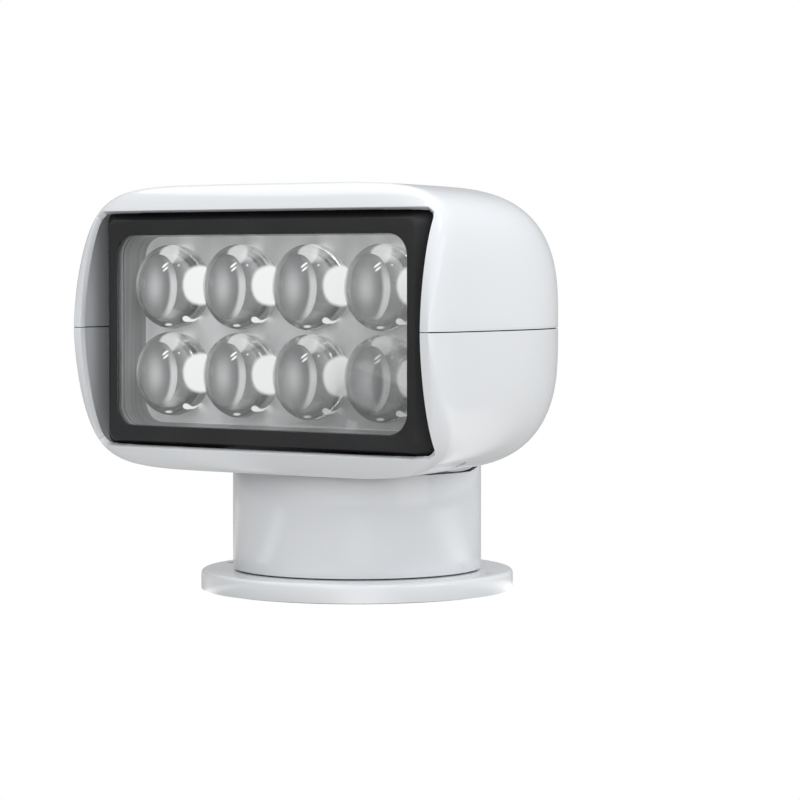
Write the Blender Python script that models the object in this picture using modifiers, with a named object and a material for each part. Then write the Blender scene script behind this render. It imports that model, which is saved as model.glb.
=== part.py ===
"""Marine searchlight: a box head with eight lenses on a round turning neck.

The lamp pans about the vertical axis of its neck and tilts about a cross
axis inside the head. The front faces -Y and the flange rests on z = 0.
Sizes are in metres, written as millimetres times MM.
"""

import math

import bmesh
import bpy
from mathutils import Matrix

MM = 0.001

# Clearances
GAP = 0.3 * MM
RUNNING_GAP = 1.5 * MM

# Flange
FLANGE_RADIUS = 73.5 * MM
FLANGE_THICKNESS = 9.5 * MM
FLANGE_EDGE_ROUND = 2.0 * MM
GASKET_WIDTH = 7.0 * MM
GASKET_THICKNESS = 2.0 * MM
GASKET_INSET = 3.5 * MM
MOUNT_HOLE_RADIUS = 2.75 * MM
MOUNT_HOLE_DEPTH = 7.0 * MM
MOUNT_CIRCLE = 44.0 * MM
LOCK_SCREW_RADIUS = 2.4 * MM
LOCK_SCREW_ANGLE = math.radians(13)
GLAND_RADIUS = 6.0 * MM
GLAND_BORE = 2.4 * MM
GLAND_OFFSET = 42.0 * MM
GLAND_COLLAR = 3.6 * MM

# Neck
NECK_RADIUS = 58.5 * MM
NECK_WALL = 3.0 * MM
NECK_FOOT_GAP = 0.5 * MM
LEDGE_WIDTH = 4.0 * MM
LEDGE_HEIGHT = 4.0 * MM
DECK_THICKNESS = 4.0 * MM
NECK_TOP = 55.45 * MM
SEAL_HEIGHT = 4.0 * MM
SEAL_WIDTH = 3.0 * MM

# Pan bearing and drive
POST_RADIUS = 14.0 * MM
POST_BORE = 9.0 * MM
POST_FOOT_RADIUS = 24.0 * MM
POST_FOOT_HEIGHT = 4.0 * MM
BUSH_WALL = 3.4 * MM
BUSH_FLANGE = 6.0 * MM
BUSH_FLANGE_HEIGHT = 2.0 * MM
WASHER_THICKNESS = 1.5 * MM
BOSS_WALL = 4.0 * MM
CLIP_THICKNESS = 1.5 * MM
CLIP_DEPTH = 1.3 * MM
POST_END = 2.0 * MM
GEAR_FACE = 5.0 * MM
PITCH_SHARE = 36.0 / 58.5
RING_TEETH = 60
PINION_TEETH = 12
SECTOR_TEETH = 44
PAN_MOTOR_RADIUS = 11.5 * MM
TILT_MOTOR_RADIUS = 10.0 * MM
TILT_MOTOR_LENGTH = 30.0 * MM
SHAFT_RADIUS = 2.0 * MM

# Head
HEAD_HALF_WIDTH = 104.7 * MM
HEAD_HALF_HEIGHT = 65.7 * MM
HEAD_BACK = 74.0 * MM
HEAD_FRONT = 85.8 * MM
FRONT_ROUND = 16.5 * MM
FRONT_POWER = 1.76
WIDEST_Y = 52.4 * MM
FRONT_TAPER_REACH = 55.3 * MM
FRONT_TAPER_POWER = 4.07
BACK_POWER = 2.82
SECTION_POWER_FRONT = 6.35
SECTION_POWER_BACK = 2.9
SHELL_WALL = 3.0 * MM
SEAM_GAP = 0.4 * MM
HEAD_SEGMENTS = 44

# Underside of the head
RIM_DROP = 2.1 * MM
RECESS_DEPTH = 5.7 * MM
RECESS_MARGIN = 3.5 * MM
TILT_UP = math.radians(45)
TILT_DOWN = math.radians(5)

# Window and lamp module
SIDE_LIP = 7.8 * MM
TOP_LIP = 11.8 * MM
WINDOW_DROP = 1.2 * MM
WINDOW_CORNER = 5.5 * MM
WINDOW_RECESS = 9.5 * MM
BEZEL_SIDE = 13.6 * MM
BEZEL_TOP = 9.7 * MM
BEZEL_CHAMFER = 6.0 * MM
BEZEL_CHAMFER_DEPTH = 10.0 * MM
BEZEL_LIP = 0.9 * MM
BEZEL_FLANGE = 2.4 * MM
BEZEL_FLANGE_CORNER = 16.0 * MM
BEZEL_FLANGE_THICKNESS = 3.0 * MM
BEZEL_FLANGE_SETBACK = 14.5 * MM
APERTURE_CORNER = 10.0 * MM
GLASS_BORDER = 2.8 * MM
GLASS_THICKNESS = 3.0 * MM
GLASS_SEAL_THICKNESS = 1.2 * MM
LENS_COLUMNS = 4
LENS_ROWS = 2
LENS_EDGE = 2.3 * MM
LENS_SPACING = 1.3 * MM
LENS_DOME = 7.2 * MM
LENS_BODY = 7.7 * MM
LENS_AIR = 0.5 * MM
TRAY_FLOOR = 2.3 * MM
TRAY_WALL = 2.4 * MM
TRAY_TAPER = 0.975
EMITTER_HOLE = 10.0 * MM
EMITTER_RADIUS = 3.5 * MM
EMITTER_HEIGHT = 1.8 * MM
BOARD_THICKNESS = 1.6 * MM
SINK_PLATE = 4.5 * MM
SINK_DEPTH = 23.0 * MM
FIN_COUNT = 15
FIN_THICKNESS = 1.8 * MM
SINK_INSET = 4.0 * MM

# Chassis and tilt pivot
CHASSIS_PLATE = 3.0 * MM
CHASSIS_HALF_HEIGHT = 30.0 * MM
CHEEK_HALF_HEIGHT = 13.0 * MM
ARM_INSET = 14.5 * MM
ARM_THICKNESS = 4.0 * MM
ARM_HALF_WIDTH = 8.0 * MM
ARM_EYE_RADIUS = 10.0 * MM
ARM_FOOT = 8.0 * MM
ARM_SLOT_GAP = 1.5 * MM
PIN_RADIUS = 4.0 * MM
PIN_HEAD_RADIUS = 6.5 * MM
PIN_HEAD = 3.0 * MM
TRUNNION_WALL = 2.5 * MM
MOTOR_ANGLE = math.radians(150)
STRAP_THICKNESS = 1.5 * MM
STRAP_WIDTH = 10.0 * MM
BOARD_CLEARANCE = 1.8 * MM
STAND_RADIUS = 2.5 * MM
AERIAL_RADIUS = 1.0 * MM
AERIAL_SHARES = (0.12, 0.26, 0.4, 0.54)
DRIVER_BOARD = (-0.6, -0.04)
RECEIVER_BOARD = (0.1, 0.58)
STANDS_ACROSS = (-0.55, -0.09, 0.15, 0.53)
STANDS_ALONG = (-0.2, 0.32)
BOARD_PARTS = ((0.2, 8.0 * MM), (0.5, 4.0 * MM), (0.8, 6.0 * MM))
BOARD_PART_SHARE = 0.18
BOARD_PART_INSET = 6.0 * MM
BOARD_PART_LENGTH = 12.0 * MM

# Shell screws
POST_SCREW_RADIUS = 1.6 * MM
SCREW_HEAD_RADIUS = 3.0 * MM
SCREW_HEAD = 2.2 * MM
SCREW_POST_RADIUS = 5.0 * MM
SCREW_REACH = 12.0 * MM
FRONT_SCREW_INSET = 16.2 * MM
FRONT_SCREW_Y = -44.0 * MM
BACK_SCREW_INSET = 28.7 * MM
BACK_SCREW_Y = 30.0 * MM

# Seam gasket
STRIP_HALF_HEIGHT = 3.0 * MM
STRIP_THICKNESS = 2.0 * MM

# Worked out from the sizes above
HEAD_BOTTOM = NECK_TOP + RIM_DROP
HEAD_CENTRE_Z = HEAD_BOTTOM + HEAD_HALF_HEIGHT
TILT_Z = HEAD_CENTRE_Z
NECK_FOOT = FLANGE_THICKNESS + NECK_FOOT_GAP
NECK_BORE = NECK_RADIUS - NECK_WALL
SWEPT_RADIUS = math.hypot(HEAD_HALF_HEIGHT * math.cos(TILT_UP), HEAD_BACK * math.sin(TILT_UP))
RIM_RADIUS = TILT_Z - NECK_TOP + GAP
SADDLE_RADIUS = max(HEAD_BACK + RUNNING_GAP, RIM_RADIUS)
SADDLE_TOP = TILT_Z - math.sqrt(max(SADDLE_RADIUS**2 - NECK_RADIUS**2, 0.0))
DECK_TOP = min(NECK_TOP, TILT_Z - SWEPT_RADIUS) - RUNNING_GAP
DECK_BOTTOM = DECK_TOP - DECK_THICKNESS
RING_BOTTOM = FLANGE_THICKNESS + GAP + POST_FOOT_HEIGHT + GAP
RING_TOP = RING_BOTTOM + GEAR_FACE
WASHER_BOTTOM = RING_TOP + GAP
BUSH_BOTTOM = WASHER_BOTTOM + WASHER_THICKNESS + GAP
BUSH_INNER = POST_RADIUS + GAP
BUSH_OUTER = BUSH_INNER + BUSH_WALL
BOSS_INNER = BUSH_OUTER + GAP
BOSS_OUTER = BOSS_INNER + BOSS_WALL
BOSS_BOTTOM = BUSH_BOTTOM + BUSH_FLANGE_HEIGHT + GAP
CLIP_BOTTOM = DECK_BOTTOM + GAP
BUSH_TOP = CLIP_BOTTOM - GAP
PAN_CENTRES = NECK_RADIUS * PITCH_SHARE
GEAR_MODULE = 2 * PAN_CENTRES / (RING_TEETH + PINION_TEETH)
TILT_CENTRES = GEAR_MODULE * (SECTOR_TEETH + PINION_TEETH) / 2
WINDOW_Z = HEAD_CENTRE_Z - WINDOW_DROP
WINDOW_HALF_WIDTH = HEAD_HALF_WIDTH - SIDE_LIP
WINDOW_HALF_HEIGHT = HEAD_HALF_HEIGHT - TOP_LIP
APERTURE_HALF_WIDTH = WINDOW_HALF_WIDTH - BEZEL_SIDE
APERTURE_HALF_HEIGHT = WINDOW_HALF_HEIGHT - BEZEL_TOP
BEZEL_FACE_Y = WINDOW_RECESS - HEAD_FRONT
BEZEL_FLANGE_Y = BEZEL_FACE_Y + BEZEL_FLANGE_SETBACK
COLLAR_BACK = BEZEL_FLANGE_Y + BEZEL_FLANGE_THICKNESS
GLASS_HALF_WIDTH = APERTURE_HALF_WIDTH + GLASS_BORDER
GLASS_HALF_HEIGHT = APERTURE_HALF_HEIGHT + GLASS_BORDER
GLASS_CORNER = APERTURE_CORNER + GLASS_BORDER
GLASS_FRONT = BEZEL_FACE_Y + BEZEL_LIP + GAP
GLASS_BACK = GLASS_FRONT + GLASS_THICKNESS
LENS_PITCH = 2 * min(
    (APERTURE_HALF_WIDTH - LENS_EDGE) / LENS_COLUMNS, (APERTURE_HALF_HEIGHT - LENS_EDGE) / LENS_ROWS
)
LENS_RADIUS = (LENS_PITCH - LENS_SPACING) / 2
TRAY_FRONT = GLASS_BACK + GLASS_SEAL_THICKNESS + 2 * GAP
LENS_FRONT = GLASS_BACK + LENS_AIR
LENS_BACK = LENS_FRONT + LENS_DOME + LENS_BODY
TRAY_BACK = LENS_BACK + GAP + TRAY_FLOOR
BOARD_FRONT = TRAY_BACK + GAP
SINK_FRONT = BOARD_FRONT + BOARD_THICKNESS + GAP
SINK_BACK = SINK_FRONT + SINK_DEPTH
CHASSIS_FRONT = SINK_BACK + GAP
CHASSIS_BACK = CHASSIS_FRONT + CHASSIS_PLATE
ARM_X = NECK_RADIUS - ARM_INSET
ARM_INNER = ARM_X - ARM_THICKNESS / 2
ARM_OUTER = ARM_X + ARM_THICKNESS / 2
CHEEK_INNER = ARM_OUTER + ARM_SLOT_GAP
CHEEK_OUTER = CHEEK_INNER + CHASSIS_PLATE
BUSH_BORE = PIN_RADIUS + GAP
TRUNNION_OUTER = BUSH_BORE + TRUNNION_WALL
GEAR_INNER = ARM_INNER - GAP - GEAR_FACE
MOTOR_Y = TILT_CENTRES * math.sin(MOTOR_ANGLE)
MOTOR_Z = TILT_Z - TILT_CENTRES * math.cos(MOTOR_ANGLE)
SHELF_BOTTOM = MOTOR_Z + TILT_MOTOR_RADIUS + GAP
SHELF_BACK = MOTOR_Y + TILT_MOTOR_RADIUS + STRAP_THICKNESS + GAP
BOARD_START = -0.26 * HEAD_BACK
BOARD_BACK = 0.38 * HEAD_BACK
SHELF_TOP = SHELF_BOTTOM + CHASSIS_PLATE
BOARD_PART_DROP = max(height for _, height in BOARD_PARTS)
BOARD_TOP = SHELF_TOP + BOARD_CLEARANCE + BOARD_PART_DROP + BOARD_THICKNESS


def clear_scene():
    """Remove every object, so that the file holds only the lamp."""
    for item in list(bpy.data.objects):
        bpy.data.objects.remove(item, do_unlink=True)


def new_collection(name, hidden=False):
    """Make a collection under the scene."""
    group = bpy.data.collections.new(name)
    group.hide_render = hidden
    bpy.context.scene.collection.children.link(group)
    return group


def new_material(name, colour, roughness, metallic=0.0, transmission=0.0):
    """Make a Principled material."""
    surface = bpy.data.materials.new(name)
    surface.use_nodes = True
    shader = surface.node_tree.nodes["Principled BSDF"]
    shader.inputs["Base Color"].default_value = (*colour, 1.0)
    shader.inputs["Roughness"].default_value = roughness
    shader.inputs["Metallic"].default_value = metallic
    shader.inputs["Transmission Weight"].default_value = transmission
    surface.diffuse_color = (*colour, 1.0)
    return surface


clear_scene()
LAMP = new_collection("lamp")
CUTTERS = new_collection("cutters", hidden=True)

WHITE = ("white gelcoat", (0.86, 0.87, 0.88), 0.18, 0.0, 0.0)
BLACK = ("black plastic", (0.02, 0.02, 0.022), 0.38, 0.0, 0.0)
RUBBER = ("rubber", (0.015, 0.015, 0.015), 0.75, 0.0, 0.0)
CLEAR = ("clear acrylic", (0.95, 0.96, 0.97), 0.03, 0.0, 1.0)
SILVER = ("silvered plastic", (0.7, 0.71, 0.72), 0.22, 0.8, 0.0)
STEEL = ("stainless steel", (0.62, 0.62, 0.63), 0.3, 1.0, 0.0)
ALLOY = ("cast alloy", (0.5, 0.51, 0.53), 0.45, 1.0, 0.0)
NYLON = ("nylon", (0.8, 0.79, 0.74), 0.5, 0.0, 0.0)
BRONZE = ("bearing bronze", (0.6, 0.42, 0.2), 0.35, 1.0, 0.0)
CIRCUIT = ("circuit board", (0.02, 0.16, 0.07), 0.5, 0.0, 0.0)


def place(item, look):
    """Put an object in the lamp with its own material, or among the cutters."""
    if look is None:
        CUTTERS.objects.link(item)
        item.hide_render = True
        item.display_type = "WIRE"
    else:
        LAMP.objects.link(item)
        item.data.materials.append(new_material(f"{item.name} {look[0]}", *look[1:]))
    return item


def from_bmesh(name, shape, look):
    """Turn a bmesh into an object with its faces outward."""
    bmesh.ops.recalc_face_normals(shape, faces=shape.faces)
    mesh = bpy.data.meshes.new(name)
    shape.to_mesh(mesh)
    shape.free()
    return place(bpy.data.objects.new(name, mesh), look)


def block(name, low, high, look=None):
    """A plain box between two corners."""
    shape = bmesh.new()
    bmesh.ops.create_cube(shape, size=1.0)
    for vertex in shape.verts:
        vertex.co = [
            (low[i] + high[i]) / 2 + vertex.co[i] * (high[i] - low[i]) for i in range(3)
        ]
    return from_bmesh(name, shape, look)


def pad(name, half_width, half_height, corner, front, back, look=None, shrink=1.0, chamfer=None):
    """A round-cornered slab that faces -Y. The back can shrink, and the front edge can be sloped."""
    shape = bmesh.new()
    bmesh.ops.create_cube(shape, size=2.0)
    for vertex in shape.verts:
        vertex.co.x *= half_width
        vertex.co.y = front if vertex.co.y < 0 else back
        vertex.co.z = WINDOW_Z + vertex.co.z * half_height
    along = [
        edge for edge in shape.edges if abs(edge.verts[0].co.y - edge.verts[1].co.y) > 0.5 * (back - front)
    ]
    bmesh.ops.bevel(
        shape, geom=along, offset=corner, segments=5, profile=0.5, affect="EDGES", clamp_overlap=True
    )
    if chamfer:
        rim = [
            edge
            for edge in shape.edges
            if max(abs(vertex.co.y - front) for vertex in edge.verts) < 1e-6
        ]
        width, depth = chamfer
        bmesh.ops.bevel(
            shape, geom=rim, offset=width, segments=1, profile=0.5, affect="EDGES", clamp_overlap=True
        )
        for vertex in shape.verts:
            if abs(vertex.co.y - front - width) < 1e-6:
                vertex.co.y = front + depth
    for vertex in shape.verts:
        if abs(vertex.co.y - back) < 1e-6:
            vertex.co.x *= shrink
            vertex.co.z = WINDOW_Z + (vertex.co.z - WINDOW_Z) * shrink
    return from_bmesh(name, shape, look)


def rod(name, radius, low, high, axis="Z", centre=(0.0, 0.0), look=None, segments=24):
    """A cylinder from low to high along an axis. The centre is given in the other two, in order."""
    shape = bmesh.new()
    bmesh.ops.create_cone(
        shape, cap_ends=True, segments=segments, radius1=radius, radius2=radius, depth=high - low
    )
    item = from_bmesh(name, shape, look)
    middle = (low + high) / 2
    if axis == "X":
        item.rotation_euler = (0.0, math.pi / 2, 0.0)
        item.location = (middle, centre[0], centre[1])
    elif axis == "Y":
        item.rotation_euler = (math.pi / 2, 0.0, 0.0)
        item.location = (centre[0], middle, centre[1])
    else:
        item.location = (centre[0], centre[1], middle)
    return item


def turned(name, profile, look, axis="Z", origin=(0.0, 0.0, 0.0), steps=64, ring=True):
    """A turned piece. The profile is (radius, height) points from the outer top down and round."""
    mesh = bpy.data.meshes.new(name)
    points = [(radius, 0.0, height) for radius, height in profile]
    edges = [(i, i + 1) for i in range(len(points) - 1)]
    if ring:
        edges.append((len(points) - 1, 0))
    mesh.from_pydata(points, edges, [])
    item = bpy.data.objects.new(name, mesh)
    screw = item.modifiers.new("turn", "SCREW")
    screw.steps = steps
    screw.render_steps = steps
    screw.use_merge_vertices = True
    screw.merge_threshold = 1e-5
    place(item, look)
    item.location = origin
    if axis == "Y":
        item.rotation_euler = (math.pi / 2, 0.0, 0.0)
    elif axis == "X":
        item.rotation_euler = (0.0, math.pi / 2, 0.0)
    return settle(item)


def settle(item):
    """Replace an object's modifiers by the mesh that they make, with its faces outward."""
    bpy.context.view_layer.update()
    graph = bpy.context.evaluated_depsgraph_get()
    made = bpy.data.meshes.new_from_object(item.evaluated_get(graph))
    shape = bmesh.new()
    shape.from_mesh(made)
    bmesh.ops.remove_doubles(shape, verts=shape.verts, dist=1e-6)
    bmesh.ops.recalc_face_normals(shape, faces=shape.faces)
    shape.to_mesh(made)
    shape.free()
    if item.type == "MESH":
        item.modifiers.clear()
        item.data = made
        return item
    solid = bpy.data.objects.new(item.name, made)
    solid.matrix_world = item.matrix_world.copy()
    for group in item.users_collection:
        group.objects.link(solid)
    name = item.name
    bpy.data.objects.remove(item, do_unlink=True)
    solid.name = name
    return solid


def outline_plate(name, outlines, low, high, look, axis="Z", origin=(0.0, 0.0)):
    """A flat piece: closed outlines, the first outside and the rest holes, drawn across the axis."""
    curve = bpy.data.curves.new(name, "CURVE")
    curve.dimensions = "2D"
    curve.fill_mode = "BOTH"
    curve.extrude = (high - low) / 2
    for outline in outlines:
        spline = curve.splines.new("POLY")
        spline.points.add(len(outline) - 1)
        for point, (across, up) in zip(spline.points, outline):
            point.co = (across, up, 0.0, 1.0)
        spline.use_cyclic_u = True
    item = place(bpy.data.objects.new(name, curve), look)
    middle = (low + high) / 2
    if axis == "X":
        item.rotation_euler = (math.pi / 2, 0.0, math.pi / 2)
        item.location = (middle, origin[0], origin[1])
    else:
        item.location = (origin[0], origin[1], middle)
    return settle(item)


def circle(radius, count=24, centre=(0.0, 0.0)):
    """Points of a circle."""
    turn = 2 * math.pi / count
    return [
        (centre[0] + radius * math.cos(i * turn), centre[1] + radius * math.sin(i * turn))
        for i in range(count)
    ]


def gear_outline(teeth, phase=0.0, first=0, last=None, plain_radius=None):
    """Outline of a spur gear, or of a sector that has teeth only from first to last."""
    pitch_radius = GEAR_MODULE * teeth / 2
    tip = pitch_radius + 0.8 * GEAR_MODULE
    root = pitch_radius - 1.2 * GEAR_MODULE
    step = 2 * math.pi / teeth
    last = teeth - 1 if last is None else last
    points = []
    for i in range(teeth):
        middle = phase + i * step
        if first <= i <= last:
            corners = [(-0.27, root), (-0.12, tip), (0.12, tip), (0.27, root)]
        else:
            corners = [(0.0, plain_radius)]
        for share, radius in corners:
            angle = middle + share * step
            points.append((radius * math.cos(angle), radius * math.sin(angle)))
    return points


def carve(item, cutter, operation="DIFFERENCE"):
    """Add a Boolean to an object."""
    step = item.modifiers.new(cutter.name, "BOOLEAN")
    step.operation = operation
    step.solver = "EXACT"
    step.object = cutter
    return item


def head_stations(inset):
    """Distance back, half width, half height and section power of each ring of the head, front to back."""
    half_height = HEAD_HALF_HEIGHT - inset
    half_width = HEAD_HALF_WIDTH - inset
    back = HEAD_BACK - inset
    knee = HEAD_FRONT - FRONT_ROUND
    rings = []
    for degrees in (10, 22, 36, 52, 70, 90):
        angle = math.radians(degrees)
        y = -(knee + (FRONT_ROUND - inset) * max(math.cos(angle), 0.0) ** (2 / FRONT_POWER))
        rings.append((y, half_height * math.sin(angle) ** (2 / FRONT_POWER)))
    for share in (0.25, 0.5, 0.75):
        rings.append((-knee * (1 - share), half_height))
    for degrees in (0, 14, 28, 41, 53, 64, 74, 82):
        angle = math.radians(degrees)
        rings.append((back * math.sin(angle), half_height * math.cos(angle)))
    stations = []
    for y, height in rings:
        if y > -WIDEST_Y:
            share = (y + WIDEST_Y) / (back + WIDEST_Y)
            width = half_width * (1 - share**BACK_POWER) ** (1 / BACK_POWER)
        else:
            share = (-WIDEST_Y - y) / FRONT_TAPER_REACH
            width = half_width * (1 - share**FRONT_TAPER_POWER) ** (1 / FRONT_TAPER_POWER)
        along = (y + HEAD_FRONT) / (HEAD_FRONT + HEAD_BACK)
        power = SECTION_POWER_FRONT + (SECTION_POWER_BACK - SECTION_POWER_FRONT) * along
        stations.append((y, width, height, power))
    return stations


def head_form(name, inset=0.0, look=None):
    """The closed form of the head, with its poles at the front and the back."""
    stations = head_stations(inset)
    count = len(stations) + 1
    shape = bmesh.new()
    bmesh.ops.create_uvsphere(shape, u_segments=HEAD_SEGMENTS, v_segments=count, radius=1.0)
    for vertex in shape.verts:
        ring = round(math.acos(max(-1.0, min(1.0, vertex.co.z))) / math.pi * count)
        if ring == 0:
            vertex.co = (0.0, inset - HEAD_FRONT, HEAD_CENTRE_Z)
            continue
        if ring == count:
            vertex.co = (0.0, HEAD_BACK - inset, HEAD_CENTRE_Z)
            continue
        y, width, height, power = stations[ring - 1]
        angle = math.atan2(vertex.co.y, vertex.co.x)
        across, up = math.cos(angle), math.sin(angle)
        x = width * math.copysign(abs(across) ** (2 / power), across)
        z = height * math.copysign(abs(up) ** (2 / power), up)
        vertex.co = (x, y, HEAD_CENTRE_Z + z)
    return from_bmesh(name, shape, look)


def screw_places():
    """Where the four shell screws stand."""
    rows = ((FRONT_SCREW_INSET, FRONT_SCREW_Y), (BACK_SCREW_INSET, BACK_SCREW_Y))
    return [(side * (HEAD_HALF_WIDTH - inset), y) for inset, y in rows for side in (-1, 1)]


def swept_radius(x):
    """How far from the tilt axis the back of the head reaches, at a distance from its middle."""
    reach = 0.0
    for y, width, height, power in head_stations(0.0):
        if y >= 0.0 and abs(x) < width:
            reach = max(reach, math.hypot(y, height * (1 - (abs(x) / width) ** power) ** (1 / power)))
    return reach


def saddle_barrel():
    """The space over the back of the neck that the tilting head sweeps, with its running gap."""
    half = NECK_RADIUS + GAP
    stops = 4
    profile = [(0.0, -half)]
    for i in range(-stops, stops + 1):
        x = half * i / stops
        profile.append((max(swept_radius(x) + RUNNING_GAP, RIM_RADIUS), x))
    profile.append((0.0, half))
    return turned("saddle_cut", profile, None, axis="X", origin=(0.0, 0.0, TILT_Z), ring=False)


def underside_z(x, y):
    """Height of the head's underside at a point."""
    stations = head_stations(0.0)
    for near, far in zip(stations, stations[1:]):
        if near[0] <= y <= far[0]:
            share = (y - near[0]) / (far[0] - near[0])
            width, height, power = (near[i] + (far[i] - near[i]) * share for i in (1, 2, 3))
            return HEAD_CENTRE_Z - height * (1 - (abs(x) / width) ** power) ** (1 / power)
    return HEAD_CENTRE_Z


def make_base():
    """Flange, gasket, gland and lock screws."""
    outer = FLANGE_RADIUS - GASKET_INSET
    inner = outer - GASKET_WIDTH
    flange = turned(
        "base_flange",
        [
            (0.0, FLANGE_THICKNESS),
            (FLANGE_RADIUS - FLANGE_EDGE_ROUND, FLANGE_THICKNESS),
            (FLANGE_RADIUS - 0.3 * FLANGE_EDGE_ROUND, FLANGE_THICKNESS - 0.3 * FLANGE_EDGE_ROUND),
            (FLANGE_RADIUS, FLANGE_THICKNESS - FLANGE_EDGE_ROUND),
            (FLANGE_RADIUS, 0.0),
            (outer + GAP, 0.0),
            (outer + GAP, GASKET_THICKNESS + GAP),
            (inner - GAP, GASKET_THICKNESS + GAP),
            (inner - GAP, 0.0),
            (0.0, 0.0),
        ],
        WHITE,
        steps=64,
        ring=False,
    )
    for i in range(3):
        angle = math.radians(30 + 120 * i)
        hole = rod(
            f"mount_hole_{i + 1}",
            MOUNT_HOLE_RADIUS,
            -MOUNT_HOLE_DEPTH,
            MOUNT_HOLE_DEPTH,
            centre=(MOUNT_CIRCLE * math.cos(angle), MOUNT_CIRCLE * math.sin(angle)),
            segments=16,
        )
        carve(flange, hole)
    gland_hole = rod(
        "gland_hole",
        GLAND_RADIUS + GAP,
        -FLANGE_THICKNESS,
        2 * FLANGE_THICKNESS,
        centre=(0.0, GLAND_OFFSET),
    )
    carve(flange, gland_hole)
    turned(
        "cable_gland",
        [
            (GLAND_RADIUS * 1.3, FLANGE_THICKNESS + GAP + GLAND_COLLAR),
            (GLAND_RADIUS * 1.3, FLANGE_THICKNESS + GAP),
            (GLAND_RADIUS, FLANGE_THICKNESS + GAP),
            (GLAND_RADIUS, GAP),
            (GLAND_BORE, GAP),
            (GLAND_BORE, FLANGE_THICKNESS + GAP + GLAND_COLLAR),
        ],
        BLACK,
        origin=(0.0, GLAND_OFFSET, 0.0),
        steps=24,
    )
    turned(
        "base_gasket",
        [(outer, GASKET_THICKNESS), (outer, 0.0), (inner, 0.0), (inner, GASKET_THICKNESS)],
        RUBBER,
    )
    ring_middle = (FLANGE_RADIUS - FLANGE_EDGE_ROUND + NECK_RADIUS) / 2
    for i, angle in enumerate((LOCK_SCREW_ANGLE, LOCK_SCREW_ANGLE + math.pi)):
        x, y = ring_middle * math.cos(angle), ring_middle * math.sin(angle)
        depth = FLANGE_THICKNESS / 2
        seat = rod(
            f"lock_screw_hole_{i + 1}",
            LOCK_SCREW_RADIUS + GAP,
            depth,
            2 * FLANGE_THICKNESS,
            centre=(x, y),
            segments=16,
        )
        carve(flange, seat)
        rod(
            f"lock_screw_{i + 1}",
            LOCK_SCREW_RADIUS,
            depth + GAP,
            FLANGE_THICKNESS - GAP,
            centre=(x, y),
            look=STEEL,
            segments=16,
        )


def make_post():
    """The fixed post with its gear, washer and clip."""
    top = CLIP_BOTTOM + CLIP_THICKNESS + POST_END
    groove = POST_RADIUS - CLIP_DEPTH
    foot = FLANGE_THICKNESS + GAP
    turned(
        "hub_post",
        [
            (POST_RADIUS, top),
            (POST_RADIUS, CLIP_BOTTOM + CLIP_THICKNESS + GAP),
            (groove, CLIP_BOTTOM + CLIP_THICKNESS + GAP),
            (groove, CLIP_BOTTOM - GAP),
            (POST_RADIUS, CLIP_BOTTOM - GAP),
            (POST_RADIUS, foot + POST_FOOT_HEIGHT),
            (POST_FOOT_RADIUS, foot + POST_FOOT_HEIGHT),
            (POST_FOOT_RADIUS, foot),
            (POST_BORE, foot),
            (POST_BORE, top),
        ],
        ALLOY,
        steps=32,
    )
    turned(
        "post_clip",
        [
            (BUSH_OUTER, CLIP_BOTTOM + CLIP_THICKNESS),
            (BUSH_OUTER, CLIP_BOTTOM),
            (groove + GAP, CLIP_BOTTOM),
            (groove + GAP, CLIP_BOTTOM + CLIP_THICKNESS),
        ],
        STEEL,
        steps=32,
    )
    outline_plate(
        "pan_ring_gear",
        [gear_outline(RING_TEETH), circle(POST_RADIUS + GAP, 32)],
        RING_BOTTOM,
        RING_TOP,
        NYLON,
    )
    turned(
        "thrust_washer",
        [
            (BUSH_INNER + BUSH_FLANGE, WASHER_BOTTOM + WASHER_THICKNESS),
            (BUSH_INNER + BUSH_FLANGE, WASHER_BOTTOM),
            (BUSH_INNER, WASHER_BOTTOM),
            (BUSH_INNER, WASHER_BOTTOM + WASHER_THICKNESS),
        ],
        BRONZE,
        steps=32,
    )


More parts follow.
